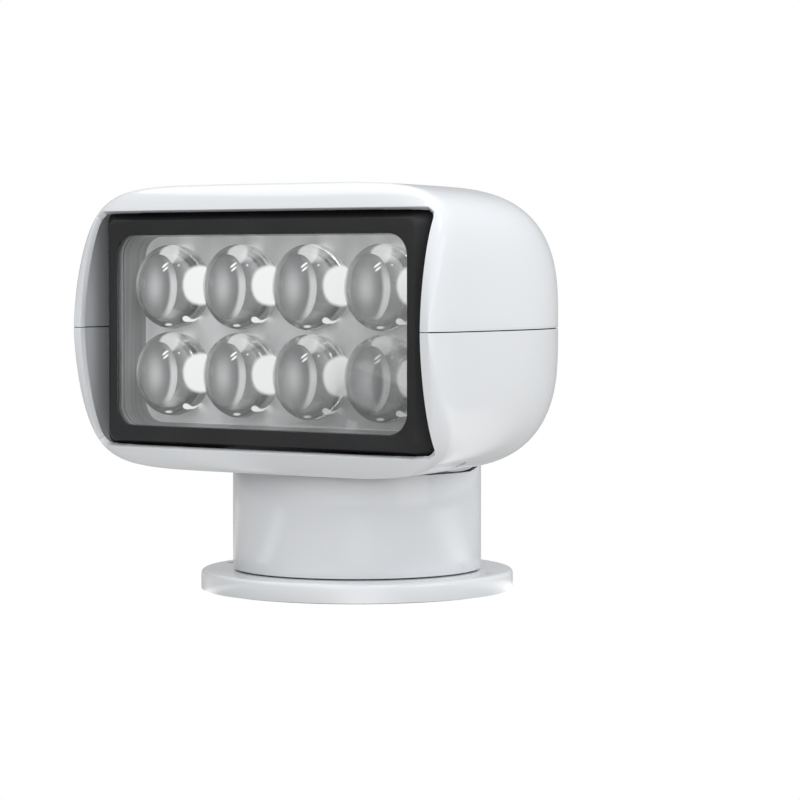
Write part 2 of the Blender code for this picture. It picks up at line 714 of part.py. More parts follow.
def make_neck():
    """The drum, its deck, its seal and the bush that turns on the post."""
    housing = turned(
        "neck_housing",
        [
            (NECK_RADIUS, SADDLE_TOP),
            (NECK_RADIUS, NECK_FOOT),
            (NECK_BORE, NECK_FOOT),
            (NECK_BORE, DECK_BOTTOM - GAP - LEDGE_HEIGHT),
            (NECK_BORE - LEDGE_WIDTH, DECK_BOTTOM - GAP - LEDGE_HEIGHT / 2),
            (NECK_BORE - LEDGE_WIDTH, DECK_BOTTOM - GAP),
            (NECK_BORE, DECK_BOTTOM - GAP),
            (NECK_BORE, SADDLE_TOP),
        ],
        WHITE,
        steps=64,
    )
    far = 2 * HEAD_BACK
    carve(housing, block("neck_front_cut", (-far, -far, NECK_TOP), (far, 0.0, TILT_Z)))
    saddle = saddle_barrel()
    carve(saddle, block("saddle_limit", (-far, -GAP, NECK_TOP), (far, far, 2 * TILT_Z)), "INTERSECT")
    carve(housing, saddle)
    deck = turned(
        "neck_deck",
        [
            (NECK_BORE - GAP, DECK_TOP),
            (NECK_BORE - GAP, DECK_BOTTOM),
            (BOSS_OUTER, DECK_BOTTOM),
            (BOSS_OUTER, BOSS_BOTTOM),
            (BOSS_INNER, BOSS_BOTTOM),
            (BOSS_INNER, DECK_TOP),
        ],
        BLACK,
        steps=48,
    )
    for side, name in ((-1, "left"), (1, "right")):
        low = ARM_INNER - GAP if side > 0 else -ARM_OUTER - GAP
        high = ARM_OUTER + GAP if side > 0 else -ARM_INNER + GAP
        reach = ARM_HALF_WIDTH + GAP
        slot = block(
            f"deck_slot_{name}",
            (low, -reach, DECK_BOTTOM - DECK_THICKNESS),
            (high, reach, DECK_TOP + DECK_THICKNESS),
        )
        carve(deck, slot)
    turned(
        "neck_seal",
        [
            (NECK_BORE - GAP, FLANGE_THICKNESS + GAP + SEAL_HEIGHT),
            (NECK_BORE - GAP, FLANGE_THICKNESS + GAP),
            (NECK_BORE - GAP - SEAL_WIDTH, FLANGE_THICKNESS + GAP),
            (NECK_BORE - GAP - SEAL_WIDTH / 2, FLANGE_THICKNESS + GAP + SEAL_HEIGHT),
        ],
        RUBBER,
        steps=48,
    )
    turned(
        "pan_bush",
        [
            (BUSH_OUTER, BUSH_TOP),
            (BUSH_OUTER, BUSH_BOTTOM + BUSH_FLANGE_HEIGHT),
            (BUSH_INNER + BUSH_FLANGE, BUSH_BOTTOM + BUSH_FLANGE_HEIGHT),
            (BUSH_INNER + BUSH_FLANGE, BUSH_BOTTOM),
            (BUSH_INNER, BUSH_BOTTOM),
            (BUSH_INNER, BUSH_TOP),
        ],
        BRONZE,
        steps=32,
    )


def make_pan_drive():
    """Motor under the deck, and the pinion that walks round the ring gear."""
    centre = (0.0, PAN_CENTRES)
    motor_bottom = RING_TOP + 2 * RUNNING_GAP
    shaft_top = (motor_bottom + DECK_BOTTOM) / 2
    motor = turned(
        "pan_motor",
        [
            (0.0, DECK_BOTTOM - GAP),
            (PAN_MOTOR_RADIUS, DECK_BOTTOM - GAP),
            (PAN_MOTOR_RADIUS, motor_bottom + RUNNING_GAP),
            (PAN_MOTOR_RADIUS / 2, motor_bottom + RUNNING_GAP),
            (PAN_MOTOR_RADIUS / 2, motor_bottom),
            (0.0, motor_bottom),
        ],
        STEEL,
        origin=(*centre, 0.0),
        steps=28,
        ring=False,
    )
    shaft_hole = rod(
        "pan_motor_bore", SHAFT_RADIUS + GAP, 0.0, shaft_top + GAP, centre=centre, segments=20
    )
    carve(motor, shaft_hole)
    pinion = outline_plate(
        "pan_pinion",
        [gear_outline(PINION_TEETH, phase=math.pi / PINION_TEETH)],
        RING_BOTTOM,
        RING_TOP,
        BRONZE,
        origin=centre,
    )
    carve(
        pinion,
        rod("pan_shaft", SHAFT_RADIUS, (RING_BOTTOM + RING_TOP) / 2, shaft_top, centre=centre, segments=16),
        "UNION",
    )


def make_yoke():
    """Two arms that pass up through the deck, with their pins and the sector gear."""
    foot_top = DECK_BOTTOM - GAP
    foot_bottom = foot_top - DECK_THICKNESS
    for side, name in ((-1, "left"), (1, "right")):
        eye = [
            (ARM_EYE_RADIUS * math.cos(math.radians(a)), ARM_EYE_RADIUS * math.sin(math.radians(a)))
            for a in range(0, 181, 15)
        ]
        bottom = foot_bottom - TILT_Z
        outline = eye + [
            (-ARM_HALF_WIDTH, -2 * ARM_EYE_RADIUS),
            (-ARM_HALF_WIDTH, bottom),
            (ARM_HALF_WIDTH, bottom),
            (ARM_HALF_WIDTH, -2 * ARM_EYE_RADIUS),
        ]
        low = side * ARM_X - ARM_THICKNESS / 2
        arm = outline_plate(
            f"yoke_arm_{name}",
            [outline, circle(PIN_RADIUS + GAP)],
            low,
            low + ARM_THICKNESS,
            ALLOY,
            axis="X",
            origin=(0.0, TILT_Z),
        )
        inner = side * (ARM_X - ARM_FOOT)
        foot = block(
            f"arm_foot_{name}",
            (min(inner, side * ARM_X), -ARM_HALF_WIDTH, foot_bottom),
            (max(inner, side * ARM_X), ARM_HALF_WIDTH, foot_top),
        )
        carve(arm, foot, "UNION")
        head_end = GEAR_INNER - GAP if side > 0 else ARM_INNER - GAP
        low, high = sorted((side * (head_end - PIN_HEAD / 2), side * (CHEEK_OUTER + RUNNING_GAP)))
        pin = rod(
            f"trunnion_pin_{name}",
            PIN_RADIUS,
            low,
            high,
            axis="X",
            centre=(0.0, TILT_Z),
            look=STEEL,
        )
        low, high = sorted((side * (head_end - PIN_HEAD), side * head_end))
        cap = rod(f"pin_head_{name}", PIN_HEAD_RADIUS, low, high, axis="X", centre=(0.0, TILT_Z))
        carve(pin, cap, "UNION")
    step = 2 * math.pi / SECTOR_TEETH
    mesh_angle = MOTOR_ANGLE - math.pi / 2
    low_tooth = math.floor((mesh_angle - TILT_UP) / step) - 1
    high_tooth = math.ceil((mesh_angle + TILT_DOWN) / step) + 1
    outline_plate(
        "tilt_sector_gear",
        [
            gear_outline(
                SECTOR_TEETH,
                phase=low_tooth * step + (mesh_angle / step - round(mesh_angle / step)) * step,
                last=high_tooth - low_tooth,
                plain_radius=ARM_EYE_RADIUS,
            ),
            circle(PIN_RADIUS + GAP),
        ],
        GEAR_INNER,
        ARM_INNER - GAP,
        NYLON,
        axis="X",
        origin=(0.0, TILT_Z),
    )


def make_shells():
    """Upper and lower shell with window, underside recess, arm slots and screw posts."""
    outer = head_form("head_outer")
    cavity = head_form("head_cavity", inset=SHELL_WALL)
    far = 3 * HEAD_HALF_WIDTH
    carve(cavity, block("cavity_front_limit", (-far, COLLAR_BACK, 0.0), (far, far, far)), "INTERSECT")
    recess_radius = NECK_RADIUS + RECESS_MARGIN
    recess_top = HEAD_BOTTOM + RECESS_DEPTH
    recess_y = (0.0, RUNNING_GAP - HEAD_HALF_HEIGHT * math.sin(TILT_DOWN))
    recess = rod("underside_recess", recess_radius, 0.0, recess_top, centre=recess_y, segments=48)
    tub = rod(
        "recess_tub",
        recess_radius + SHELL_WALL,
        0.0,
        recess_top + SHELL_WALL,
        centre=recess_y,
        segments=48,
    )
    carve(cavity, tub)
    for i, (x, y) in enumerate(screw_places()):
        carve(cavity, rod(f"screw_post_{i + 1}", SCREW_POST_RADIUS, 0.0, far, centre=(x, y), segments=16))
    for i, x in enumerate(STANDS_ACROSS):
        for j, y in enumerate(STANDS_ALONG):
            centre = (x * HEAD_HALF_WIDTH, y * HEAD_BACK)
            stand = rod(
                f"board_stand_{i}_{j}", STAND_RADIUS, BOARD_TOP + GAP, far, centre=centre, segments=10
            )
            carve(cavity, stand)
    window = pad(
        "window",
        WINDOW_HALF_WIDTH,
        WINDOW_HALF_HEIGHT,
        WINDOW_CORNER,
        -2 * HEAD_FRONT,
        COLLAR_BACK + RUNNING_GAP,
    )
    rebate = pad(
        "window_rebate",
        WINDOW_HALF_WIDTH + BEZEL_FLANGE,
        WINDOW_HALF_HEIGHT + BEZEL_FLANGE,
        BEZEL_FLANGE_CORNER,
        BEZEL_FLANGE_Y - GAP,
        COLLAR_BACK + RUNNING_GAP,
    )
    slots = []
    arm_reach = HEAD_HALF_HEIGHT * math.tan(TILT_DOWN) + ARM_HALF_WIDTH / math.cos(TILT_DOWN)
    slot_front = -arm_reach - ARM_SLOT_GAP
    slot_back = SWEPT_RADIUS * math.sin(TILT_UP) + ARM_HALF_WIDTH * math.cos(TILT_UP) + ARM_SLOT_GAP
    reach = min(slot_back / (HEAD_BACK - SHELL_WALL), 0.99)
    slot_top = TILT_Z - (HEAD_HALF_HEIGHT - SHELL_WALL) * math.sqrt(1 - reach**2) + SHELL_WALL
    for side, name in ((-1, "left"), (1, "right")):
        low, high = sorted((side * (ARM_INNER - ARM_SLOT_GAP), side * (ARM_OUTER + ARM_SLOT_GAP)))
        slots.append(block(f"arm_slot_{name}", (low, slot_front, 0.0), (high, slot_back, slot_top)))
    for name, low, high in (
        ("upper_shell", HEAD_CENTRE_Z + SEAM_GAP / 2, far),
        ("lower_shell", 0.0, HEAD_CENTRE_Z - SEAM_GAP / 2),
    ):
        shell = place(bpy.data.objects.new(name, outer.data.copy()), WHITE)
        carve(shell, cavity)
        carve(shell, window)
        carve(shell, rebate)
        carve(shell, block(f"{name}_half", (-far, -far, low), (far, far, high)), "INTERSECT")
        if name == "lower_shell":
            carve(shell, recess)
            for slot in slots:
                carve(shell, slot)
    lower, upper = bpy.data.objects["lower_shell"], bpy.data.objects["upper_shell"]
    for i, (x, y) in enumerate(screw_places()):
        surface = underside_z(x, y)
        seat = surface + SHELL_WALL + SCREW_HEAD
        counterbore = rod(
            f"screw_recess_{i + 1}", SCREW_HEAD_RADIUS + GAP, 0.0, seat, centre=(x, y), segments=16
        )
        carve(lower, counterbore)
        tip = HEAD_CENTRE_Z + SCREW_REACH
        hole = rod(
            f"screw_hole_{i + 1}", POST_SCREW_RADIUS + GAP, 0.0, tip + GAP, centre=(x, y), segments=12
        )
        carve(lower, hole)
        carve(upper, hole)
        head_top = seat - GAP
        screw = rod(
            f"shell_screw_{i + 1}",
            POST_SCREW_RADIUS,
            head_top - SCREW_HEAD / 2,
            tip,
            centre=(x, y),
            look=STEEL,
            segments=12,
        )
        cap = rod(
            f"screw_cap_{i + 1}",
            SCREW_HEAD_RADIUS,
            head_top - SCREW_HEAD,
            head_top,
            centre=(x, y),
            segments=16,
        )
        carve(screw, cap, "UNION")


def make_seam_gasket():
    """A strip behind the seam, open at the window."""
    strip = head_form("seam_gasket", inset=SHELL_WALL + GAP, look=RUBBER)
    far = 3 * HEAD_HALF_WIDTH
    low = (-far, COLLAR_BACK + GAP, HEAD_CENTRE_Z - STRIP_HALF_HEIGHT)
    high = (far, far, HEAD_CENTRE_Z + STRIP_HALF_HEIGHT)
    carve(strip, head_form("seam_gasket_inner", inset=SHELL_WALL + GAP + STRIP_THICKNESS))
    carve(strip, block("seam_gasket_band", low, high), "INTERSECT")


def make_window():
    """Bezel, glass and the seal behind the glass."""
    bezel = pad(
        "bezel",
        WINDOW_HALF_WIDTH - GAP,
        WINDOW_HALF_HEIGHT - GAP,
        WINDOW_CORNER,
        BEZEL_FACE_Y,
        COLLAR_BACK,
        BLACK,
        chamfer=(BEZEL_CHAMFER, BEZEL_CHAMFER_DEPTH),
    )
    flange = pad(
        "bezel_flange",
        WINDOW_HALF_WIDTH + BEZEL_FLANGE - GAP,
        WINDOW_HALF_HEIGHT + BEZEL_FLANGE - GAP,
        BEZEL_FLANGE_CORNER,
        BEZEL_FLANGE_Y,
        COLLAR_BACK,
    )
    aperture = pad(
        "aperture", APERTURE_HALF_WIDTH, APERTURE_HALF_HEIGHT, APERTURE_CORNER, -2 * HEAD_FRONT, 0.0
    )
    pocket = pad(
        "glass_pocket",
        GLASS_HALF_WIDTH + GAP,
        GLASS_HALF_HEIGHT + GAP,
        GLASS_CORNER,
        GLASS_FRONT - GAP,
        0.0,
    )
    carve(bezel, flange, "UNION")
    carve(bezel, aperture)
    carve(bezel, pocket)
    pad("front_glass", GLASS_HALF_WIDTH, GLASS_HALF_HEIGHT, GLASS_CORNER, GLASS_FRONT, GLASS_BACK, CLEAR)
    seal = pad(
        "glass_seal",
        GLASS_HALF_WIDTH,
        GLASS_HALF_HEIGHT,
        GLASS_CORNER,
        GLASS_BACK + GAP,
        GLASS_BACK + GAP + GLASS_SEAL_THICKNESS,
        RUBBER,
    )
    opening = pad(
        "seal_opening",
        APERTURE_HALF_WIDTH + GAP,
        APERTURE_HALF_HEIGHT + GAP,
        APERTURE_CORNER,
        -2 * HEAD_FRONT,
        0.0,
    )
    carve(seal, opening)


def lens_places():
    """Centre of each lens across the window, row by row from the top left."""
    left = -(LENS_COLUMNS - 1) / 2 * LENS_PITCH
    top = WINDOW_Z + (LENS_ROWS - 1) / 2 * LENS_PITCH
    return [
        (left + column * LENS_PITCH, top - row * LENS_PITCH)
        for row in range(LENS_ROWS)
        for column in range(LENS_COLUMNS)
    ]


def lens_profile():
    """Half section of a lens: a dome over a short barrel. Height runs forward from the back face."""
    sphere = (LENS_RADIUS**2 + LENS_DOME**2) / (2 * LENS_DOME)
    points = [(0.0, LENS_BODY + LENS_DOME)]
    for share in (0.35, 0.65, 0.87, 1.0):
        radius = share * LENS_RADIUS
        points.append((radius, LENS_BODY + math.sqrt(sphere**2 - radius**2) - (sphere - LENS_DOME)))
    return points + [(LENS_RADIUS, 0.0), (0.0, 0.0)]


def make_optics():
    """Tray, lenses, board with emitters, and the heat sink."""
    tray = pad(
        "reflector_tray", GLASS_HALF_WIDTH, GLASS_HALF_HEIGHT, GLASS_CORNER, TRAY_FRONT, TRAY_BACK, SILVER
    )
    inside = pad(
        "tray_inside",
        GLASS_HALF_WIDTH - TRAY_WALL,
        GLASS_HALF_HEIGHT - TRAY_WALL,
        GLASS_CORNER - TRAY_WALL,
        TRAY_FRONT - TRAY_WALL,
        TRAY_BACK - TRAY_FLOOR,
        shrink=TRAY_TAPER,
    )
    carve(tray, inside)
    board = pad(
        "led_board",
        GLASS_HALF_WIDTH - GAP,
        GLASS_HALF_HEIGHT - GAP,
        GLASS_CORNER,
        BOARD_FRONT,
        BOARD_FRONT + BOARD_THICKNESS,
        CIRCUIT,
    )
    for i, (x, z) in enumerate(lens_places()):
        turned(
            f"lens_{i + 1}",
            lens_profile(),
            CLEAR,
            axis="Y",
            origin=(x, LENS_BACK, z),
            steps=20,
            ring=False,
        )
        hole = rod(
            f"emitter_hole_{i + 1}", EMITTER_HOLE, LENS_BACK, 0.0, axis="Y", centre=(x, z), segments=20
        )
        carve(tray, hole)
        emitter = rod(
            f"emitter_{i + 1}",
            EMITTER_RADIUS,
            BOARD_FRONT - EMITTER_HEIGHT,
            BOARD_FRONT + BOARD_THICKNESS / 2,
            axis="Y",
            centre=(x, z),
            segments=12,
        )
        carve(board, emitter, "UNION")
    plate_back = SINK_FRONT + SINK_PLATE
    half_width = GLASS_HALF_WIDTH - SINK_INSET
    half_height = GLASS_HALF_HEIGHT - SINK_INSET
    sink = block(
        "heat_sink",
        (-half_width, SINK_FRONT, WINDOW_Z - half_height),
        (half_width, plate_back, WINDOW_Z + half_height),
        ALLOY,
    )
    pitch = (2 * half_width - FIN_THICKNESS) / (FIN_COUNT - 1)
    for i in range(FIN_COUNT):
        x = -half_width + i * pitch
        fin = block(
            f"fin_{i + 1}",
            (x, plate_back - FIN_THICKNESS, WINDOW_Z - half_height),
            (x + FIN_THICKNESS, SINK_BACK, WINDOW_Z + half_height),
        )
        carve(sink, fin, "UNION")


def make_chassis():
    """Frame behind the heat sink with the two cheeks, the trunnion bushes and the motor shelf."""
    shelf_top = SHELF_TOP
    frame = block(
        "chassis",
        (-CHEEK_OUTER, CHASSIS_FRONT, TILT_Z - CHASSIS_HALF_HEIGHT),
        (CHEEK_OUTER, CHASSIS_BACK, shelf_top),
        ALLOY,
    )
    shelf = block(
        "motor_shelf",
        (-CHEEK_OUTER, CHASSIS_FRONT, SHELF_BOTTOM),
        (CHEEK_OUTER, SHELF_BACK, shelf_top),
    )
    carve(frame, shelf, "UNION")
    nose = CHEEK_HALF_HEIGHT
    for side, name in ((-1, "left"), (1, "right")):
        low, high = sorted((side * CHEEK_INNER, side * CHEEK_OUTER))
        arc = [
            (nose * math.cos(math.radians(a)), nose * math.sin(math.radians(a))) for a in range(-90, 91, 15)
        ]
        front = CHASSIS_BACK - CHASSIS_PLATE / 2
        outline = arc + [(front, nose), (front, -nose)]
        cheek = outline_plate(
            f"cheek_{name}", [outline], low, high, None, axis="X", origin=(0.0, TILT_Z)
        )
        carve(frame, cheek, "UNION")
        bore = rod(
            f"cheek_bore_{name}",
            TRUNNION_OUTER + GAP,
            low - GAP,
            high + GAP,
            axis="X",
            centre=(0.0, TILT_Z),
        )
        carve(frame, bore)
        outline_plate(
            f"trunnion_bush_{name}",
            [circle(TRUNNION_OUTER, 24), circle(BUSH_BORE, 24)],
            low,
            high,
            BRONZE,
            axis="X",
            origin=(0.0, TILT_Z),
        )


def make_tilt_drive():
    """Motor under the chassis shelf with its strap, and the pinion that rolls on the sector gear."""
    motor_end = GEAR_INNER - RUNNING_GAP
    centre = (MOTOR_Y, MOTOR_Z)
    motor = rod(
        "tilt_motor",
        TILT_MOTOR_RADIUS,
        motor_end - TILT_MOTOR_LENGTH,
        motor_end,
        axis="X",
        centre=centre,
        look=STEEL,
        segments=28,
    )
    shaft_start = motor_end - TILT_MOTOR_LENGTH / 3
    shaft_hole = rod(
        "tilt_motor_bore",
        SHAFT_RADIUS + GAP,
        shaft_start - GAP,
        ARM_X,
        axis="X",
        centre=centre,
        segments=20,
    )
    carve(motor, shaft_hole)
    step = 2 * math.pi / PINION_TEETH
    facing_sector = MOTOR_ANGLE + math.pi / 2
    pinion = outline_plate(
        "tilt_pinion",
        [gear_outline(PINION_TEETH, phase=facing_sector + step / 2)],
        GEAR_INNER,
        ARM_INNER - GAP,
        BRONZE,
        axis="X",
        origin=centre,
    )
    shaft = rod(
        "tilt_shaft",
        SHAFT_RADIUS,
        shaft_start,
        GEAR_INNER + GEAR_FACE / 2,
        axis="X",
        centre=centre,
        segments=16,
    )
    carve(pinion, shaft, "UNION")
    inner = TILT_MOTOR_RADIUS + GAP
    outer = inner + STRAP_THICKNESS
    rise = TILT_MOTOR_RADIUS
    down = [math.radians(a) for a in range(0, -181, -15)]
    back = [math.radians(a) for a in range(-180, 1, 15)]
    strap_outline = (
        [(outer * math.cos(a), outer * math.sin(a)) for a in down]
        + [(-outer, rise), (-inner, rise)]
        + [(inner * math.cos(a), inner * math.sin(a)) for a in back]
        + [(inner, rise), (outer, rise)]
    )
    middle = motor_end - TILT_MOTOR_LENGTH * 2 / 3
    outline_plate(
        "motor_strap",
        [strap_outline],
        middle - STRAP_WIDTH / 2,
        middle + STRAP_WIDTH / 2,
        STEEL,
        axis="X",
        origin=centre,
    )


def make_electronics():
    """Driver board and radio receiver under the roof of the upper shell."""
    bottom = BOARD_TOP - BOARD_THICKNESS
    for name, shares in (("driver_board", DRIVER_BOARD), ("receiver_board", RECEIVER_BOARD)):
        low, high = (share * HEAD_HALF_WIDTH for share in shares)
        board = block(name, (low, BOARD_START, bottom), (high, BOARD_BACK, BOARD_TOP), CIRCUIT)
        width = high - low
        reach = BOARD_PART_SHARE * width / 2
        start = BOARD_START + BOARD_PART_INSET
        for i, (share, part_height) in enumerate(BOARD_PARTS):
            x = low + share * width
            chip = block(
                f"{name}_part_{i + 1}",
                (x - reach, start, bottom - part_height),
                (x + reach, start + BOARD_PART_LENGTH, bottom + BOARD_THICKNESS / 2),
            )
            carve(board, chip, "UNION")
    aerial = bpy.data.curves.new("aerial", "CURVE")
    aerial.dimensions = "3D"
    aerial.bevel_depth = AERIAL_RADIUS
    aerial.bevel_resolution = 2
    aerial.use_fill_caps = True
    spline = aerial.splines.new("POLY")
    spline.points.add(3)
    y = BOARD_BACK + GAP + AERIAL_RADIUS
    for point, share in zip(spline.points, AERIAL_SHARES):
        point.co = (share * HEAD_HALF_WIDTH, y, bottom + AERIAL_RADIUS, 1.0)
    place(bpy.data.objects.new("aerial", aerial), STEEL)


BODIES = {
    "pan_axis": (
        "neck_housing neck_deck neck_seal pan_bush pan_motor yoke_arm_left yoke_arm_right "
        "trunnion_pin_left trunnion_pin_right tilt_sector_gear"
    ).split(),
    "pan_pinion_axis": ["pan_pinion"],
    "tilt_pinion_axis": ["tilt_pinion"],
    "tilt_axis": (
        "upper_shell lower_shell seam_gasket bezel front_glass glass_seal reflector_tray led_board "
        "heat_sink chassis trunnion_bush_left trunnion_bush_right tilt_motor motor_strap driver_board "
        "receiver_board aerial"
    ).split()
    + [f"lens_{i + 1}" for i in range(LENS_COLUMNS * LENS_ROWS)]
    + [f"shell_screw_{i + 1}" for i in range(4)],
}


def parent_bodies():
    """Hang each moving body on an empty that stands on its joint's axis."""
    places = {
        "pan_axis": (0.0, 0.0, 0.0),
        "pan_pinion_axis": (0.0, PAN_CENTRES, RING_BOTTOM),
        "tilt_axis": (0.0, 0.0, TILT_Z),
        "tilt_pinion_axis": (GEAR_INNER, MOTOR_Y, MOTOR_Z),
    }
    empties = {}
    for name, location in places.items():
        empty = bpy.data.objects.new(name, None)
        empty.location = location
        LAMP.objects.link(empty)
        empties[name] = empty
    bpy.context.view_layer.update()

    def hang(item, parent):
        item.parent = parent
        item.matrix_parent_inverse = Matrix.Translation(parent.location).inverted()

    for name, pieces in BODIES.items():
        for piece in pieces:
            hang(bpy.data.objects[piece], empties[name])


def build():
    """Make the whole lamp."""
    make_base()
    make_post()
    make_neck()
    make_pan_drive()
    make_yoke()
    make_shells()
    make_seam_gasket()
    make_window()
    make_optics()
    make_chassis()
    make_tilt_drive()
    make_electronics()
    parent_bodies()


build()
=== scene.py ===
"""Marine searchlight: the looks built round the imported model, with its studio and camera."""

import logging
import math
from dataclasses import dataclass, field
from enum import Enum
from typing import Any, Callable, Iterable, Sequence

import bpy
import numpy as np
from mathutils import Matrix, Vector

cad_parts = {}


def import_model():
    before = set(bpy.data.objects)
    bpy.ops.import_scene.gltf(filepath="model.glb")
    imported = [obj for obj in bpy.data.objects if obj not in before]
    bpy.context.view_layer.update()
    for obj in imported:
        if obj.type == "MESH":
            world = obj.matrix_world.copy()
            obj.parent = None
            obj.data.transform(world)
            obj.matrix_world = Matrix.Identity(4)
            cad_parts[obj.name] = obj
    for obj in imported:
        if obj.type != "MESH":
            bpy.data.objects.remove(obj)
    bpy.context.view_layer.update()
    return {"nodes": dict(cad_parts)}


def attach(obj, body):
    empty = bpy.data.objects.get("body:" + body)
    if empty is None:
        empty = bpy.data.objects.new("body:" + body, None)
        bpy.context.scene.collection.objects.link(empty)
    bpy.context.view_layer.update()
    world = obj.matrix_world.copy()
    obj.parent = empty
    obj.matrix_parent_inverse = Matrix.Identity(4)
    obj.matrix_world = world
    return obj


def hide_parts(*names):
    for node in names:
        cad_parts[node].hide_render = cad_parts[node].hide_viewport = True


LOG = logging.getLogger("searchlight")
MM = 0.001
# A reach past every side of the lamp, for cutting bodies
FAR = 0.2
# Places that several sub-assemblies share
TILT_HEIGHT = 123.25 * MM
WINDOW_MIDDLE = 122.05 * MM
LENS_PITCH = 40.5 * MM
DRUM_RADIUS = 58.5 * MM
DRUM_WALL = 3.0 * MM
Point = tuple[float, float, float]


class Body(Enum):
    """The bodies that the new pieces ride on."""

    BASE = "base"
    NECK = "neck"
    HEAD = "head"


class Slot(Enum):
    """The material slots."""

    WHITE = "white"
    BLACK = "black"
    RUBBER = "rubber"
    CLEAR = "clear"
    SILVERED = "silvered"
    STEEL = "steel"
    ALLOY = "alloy"
    NYLON = "nylon"
    BRONZE = "bronze"
    CIRCUIT = "circuit"


class Axis(Enum):
    """The direction that a turned piece's own axis runs in."""

    UP = "Z"
    FORWARD = "Y"


# Shader maths


class Signal:
    """One shader socket that takes part in Python arithmetic."""

    def __init__(self, graph: "Graph", socket: bpy.types.NodeSocket) -> None:
        """Keeps the graph that the socket belongs to."""
        self.graph = graph
        self.socket = socket

    def _with(self, operation: str, first: Any, second: Any) -> "Signal":
        """Adds one Math node.

        Args:
            operation: The Math node's operation.
            first: Its first value, a number or a signal.
            second: Its second value, a number or a signal.

        Returns:
            The node's result.
        """
        return self.graph.add("ShaderNodeMath", {"operation": operation}, {0: first, 1: second})

    def __add__(self, other: Any) -> "Signal":
        """Self plus other."""
        return self._with("ADD", self, other)

    __radd__ = __add__

    def __sub__(self, other: Any) -> "Signal":
        """Self minus other."""
        return self._with("SUBTRACT", self, other)

    def __rsub__(self, other: Any) -> "Signal":
        """Other minus self."""
        return self._with("SUBTRACT", other, self)

    def __mul__(self, other: Any) -> "Signal":
        """Self times other."""
        return self._with("MULTIPLY", self, other)

    __rmul__ = __mul__

    def __truediv__(self, other: Any) -> "Signal":
        """Self over other."""
        return self._with("DIVIDE", self, other)

    def __pow__(self, other: Any) -> "Signal":
        """Self to a power."""
        return self._with("POWER", self, other)

    def least(self, other: Any) -> "Signal":
        """The smaller of the two."""
        return self._with("MINIMUM", self, other)

    def most(self, other: Any) -> "Signal":
        """The larger of the two."""
        return self._with("MAXIMUM", self, other)

    def fitted(self, low: float, high: float, to_low: float = 0.0, to_high: float = 1.0) -> "Signal":
        """Fits one range to another and clamps.

        Args:
            low: Start of the range that comes in.
            high: End of the range that comes in.
            to_low: Start of the range that goes out.
            to_high: End of the range that goes out.

        Returns:
            The fitted value.
        """
        values = {"Value": self, "From Min": low, "From Max": high, "To Min": to_low, "To Max": to_high}
        return self.graph.add("ShaderNodeMapRange", {"interpolation_type": "SMOOTHSTEP"}, values)


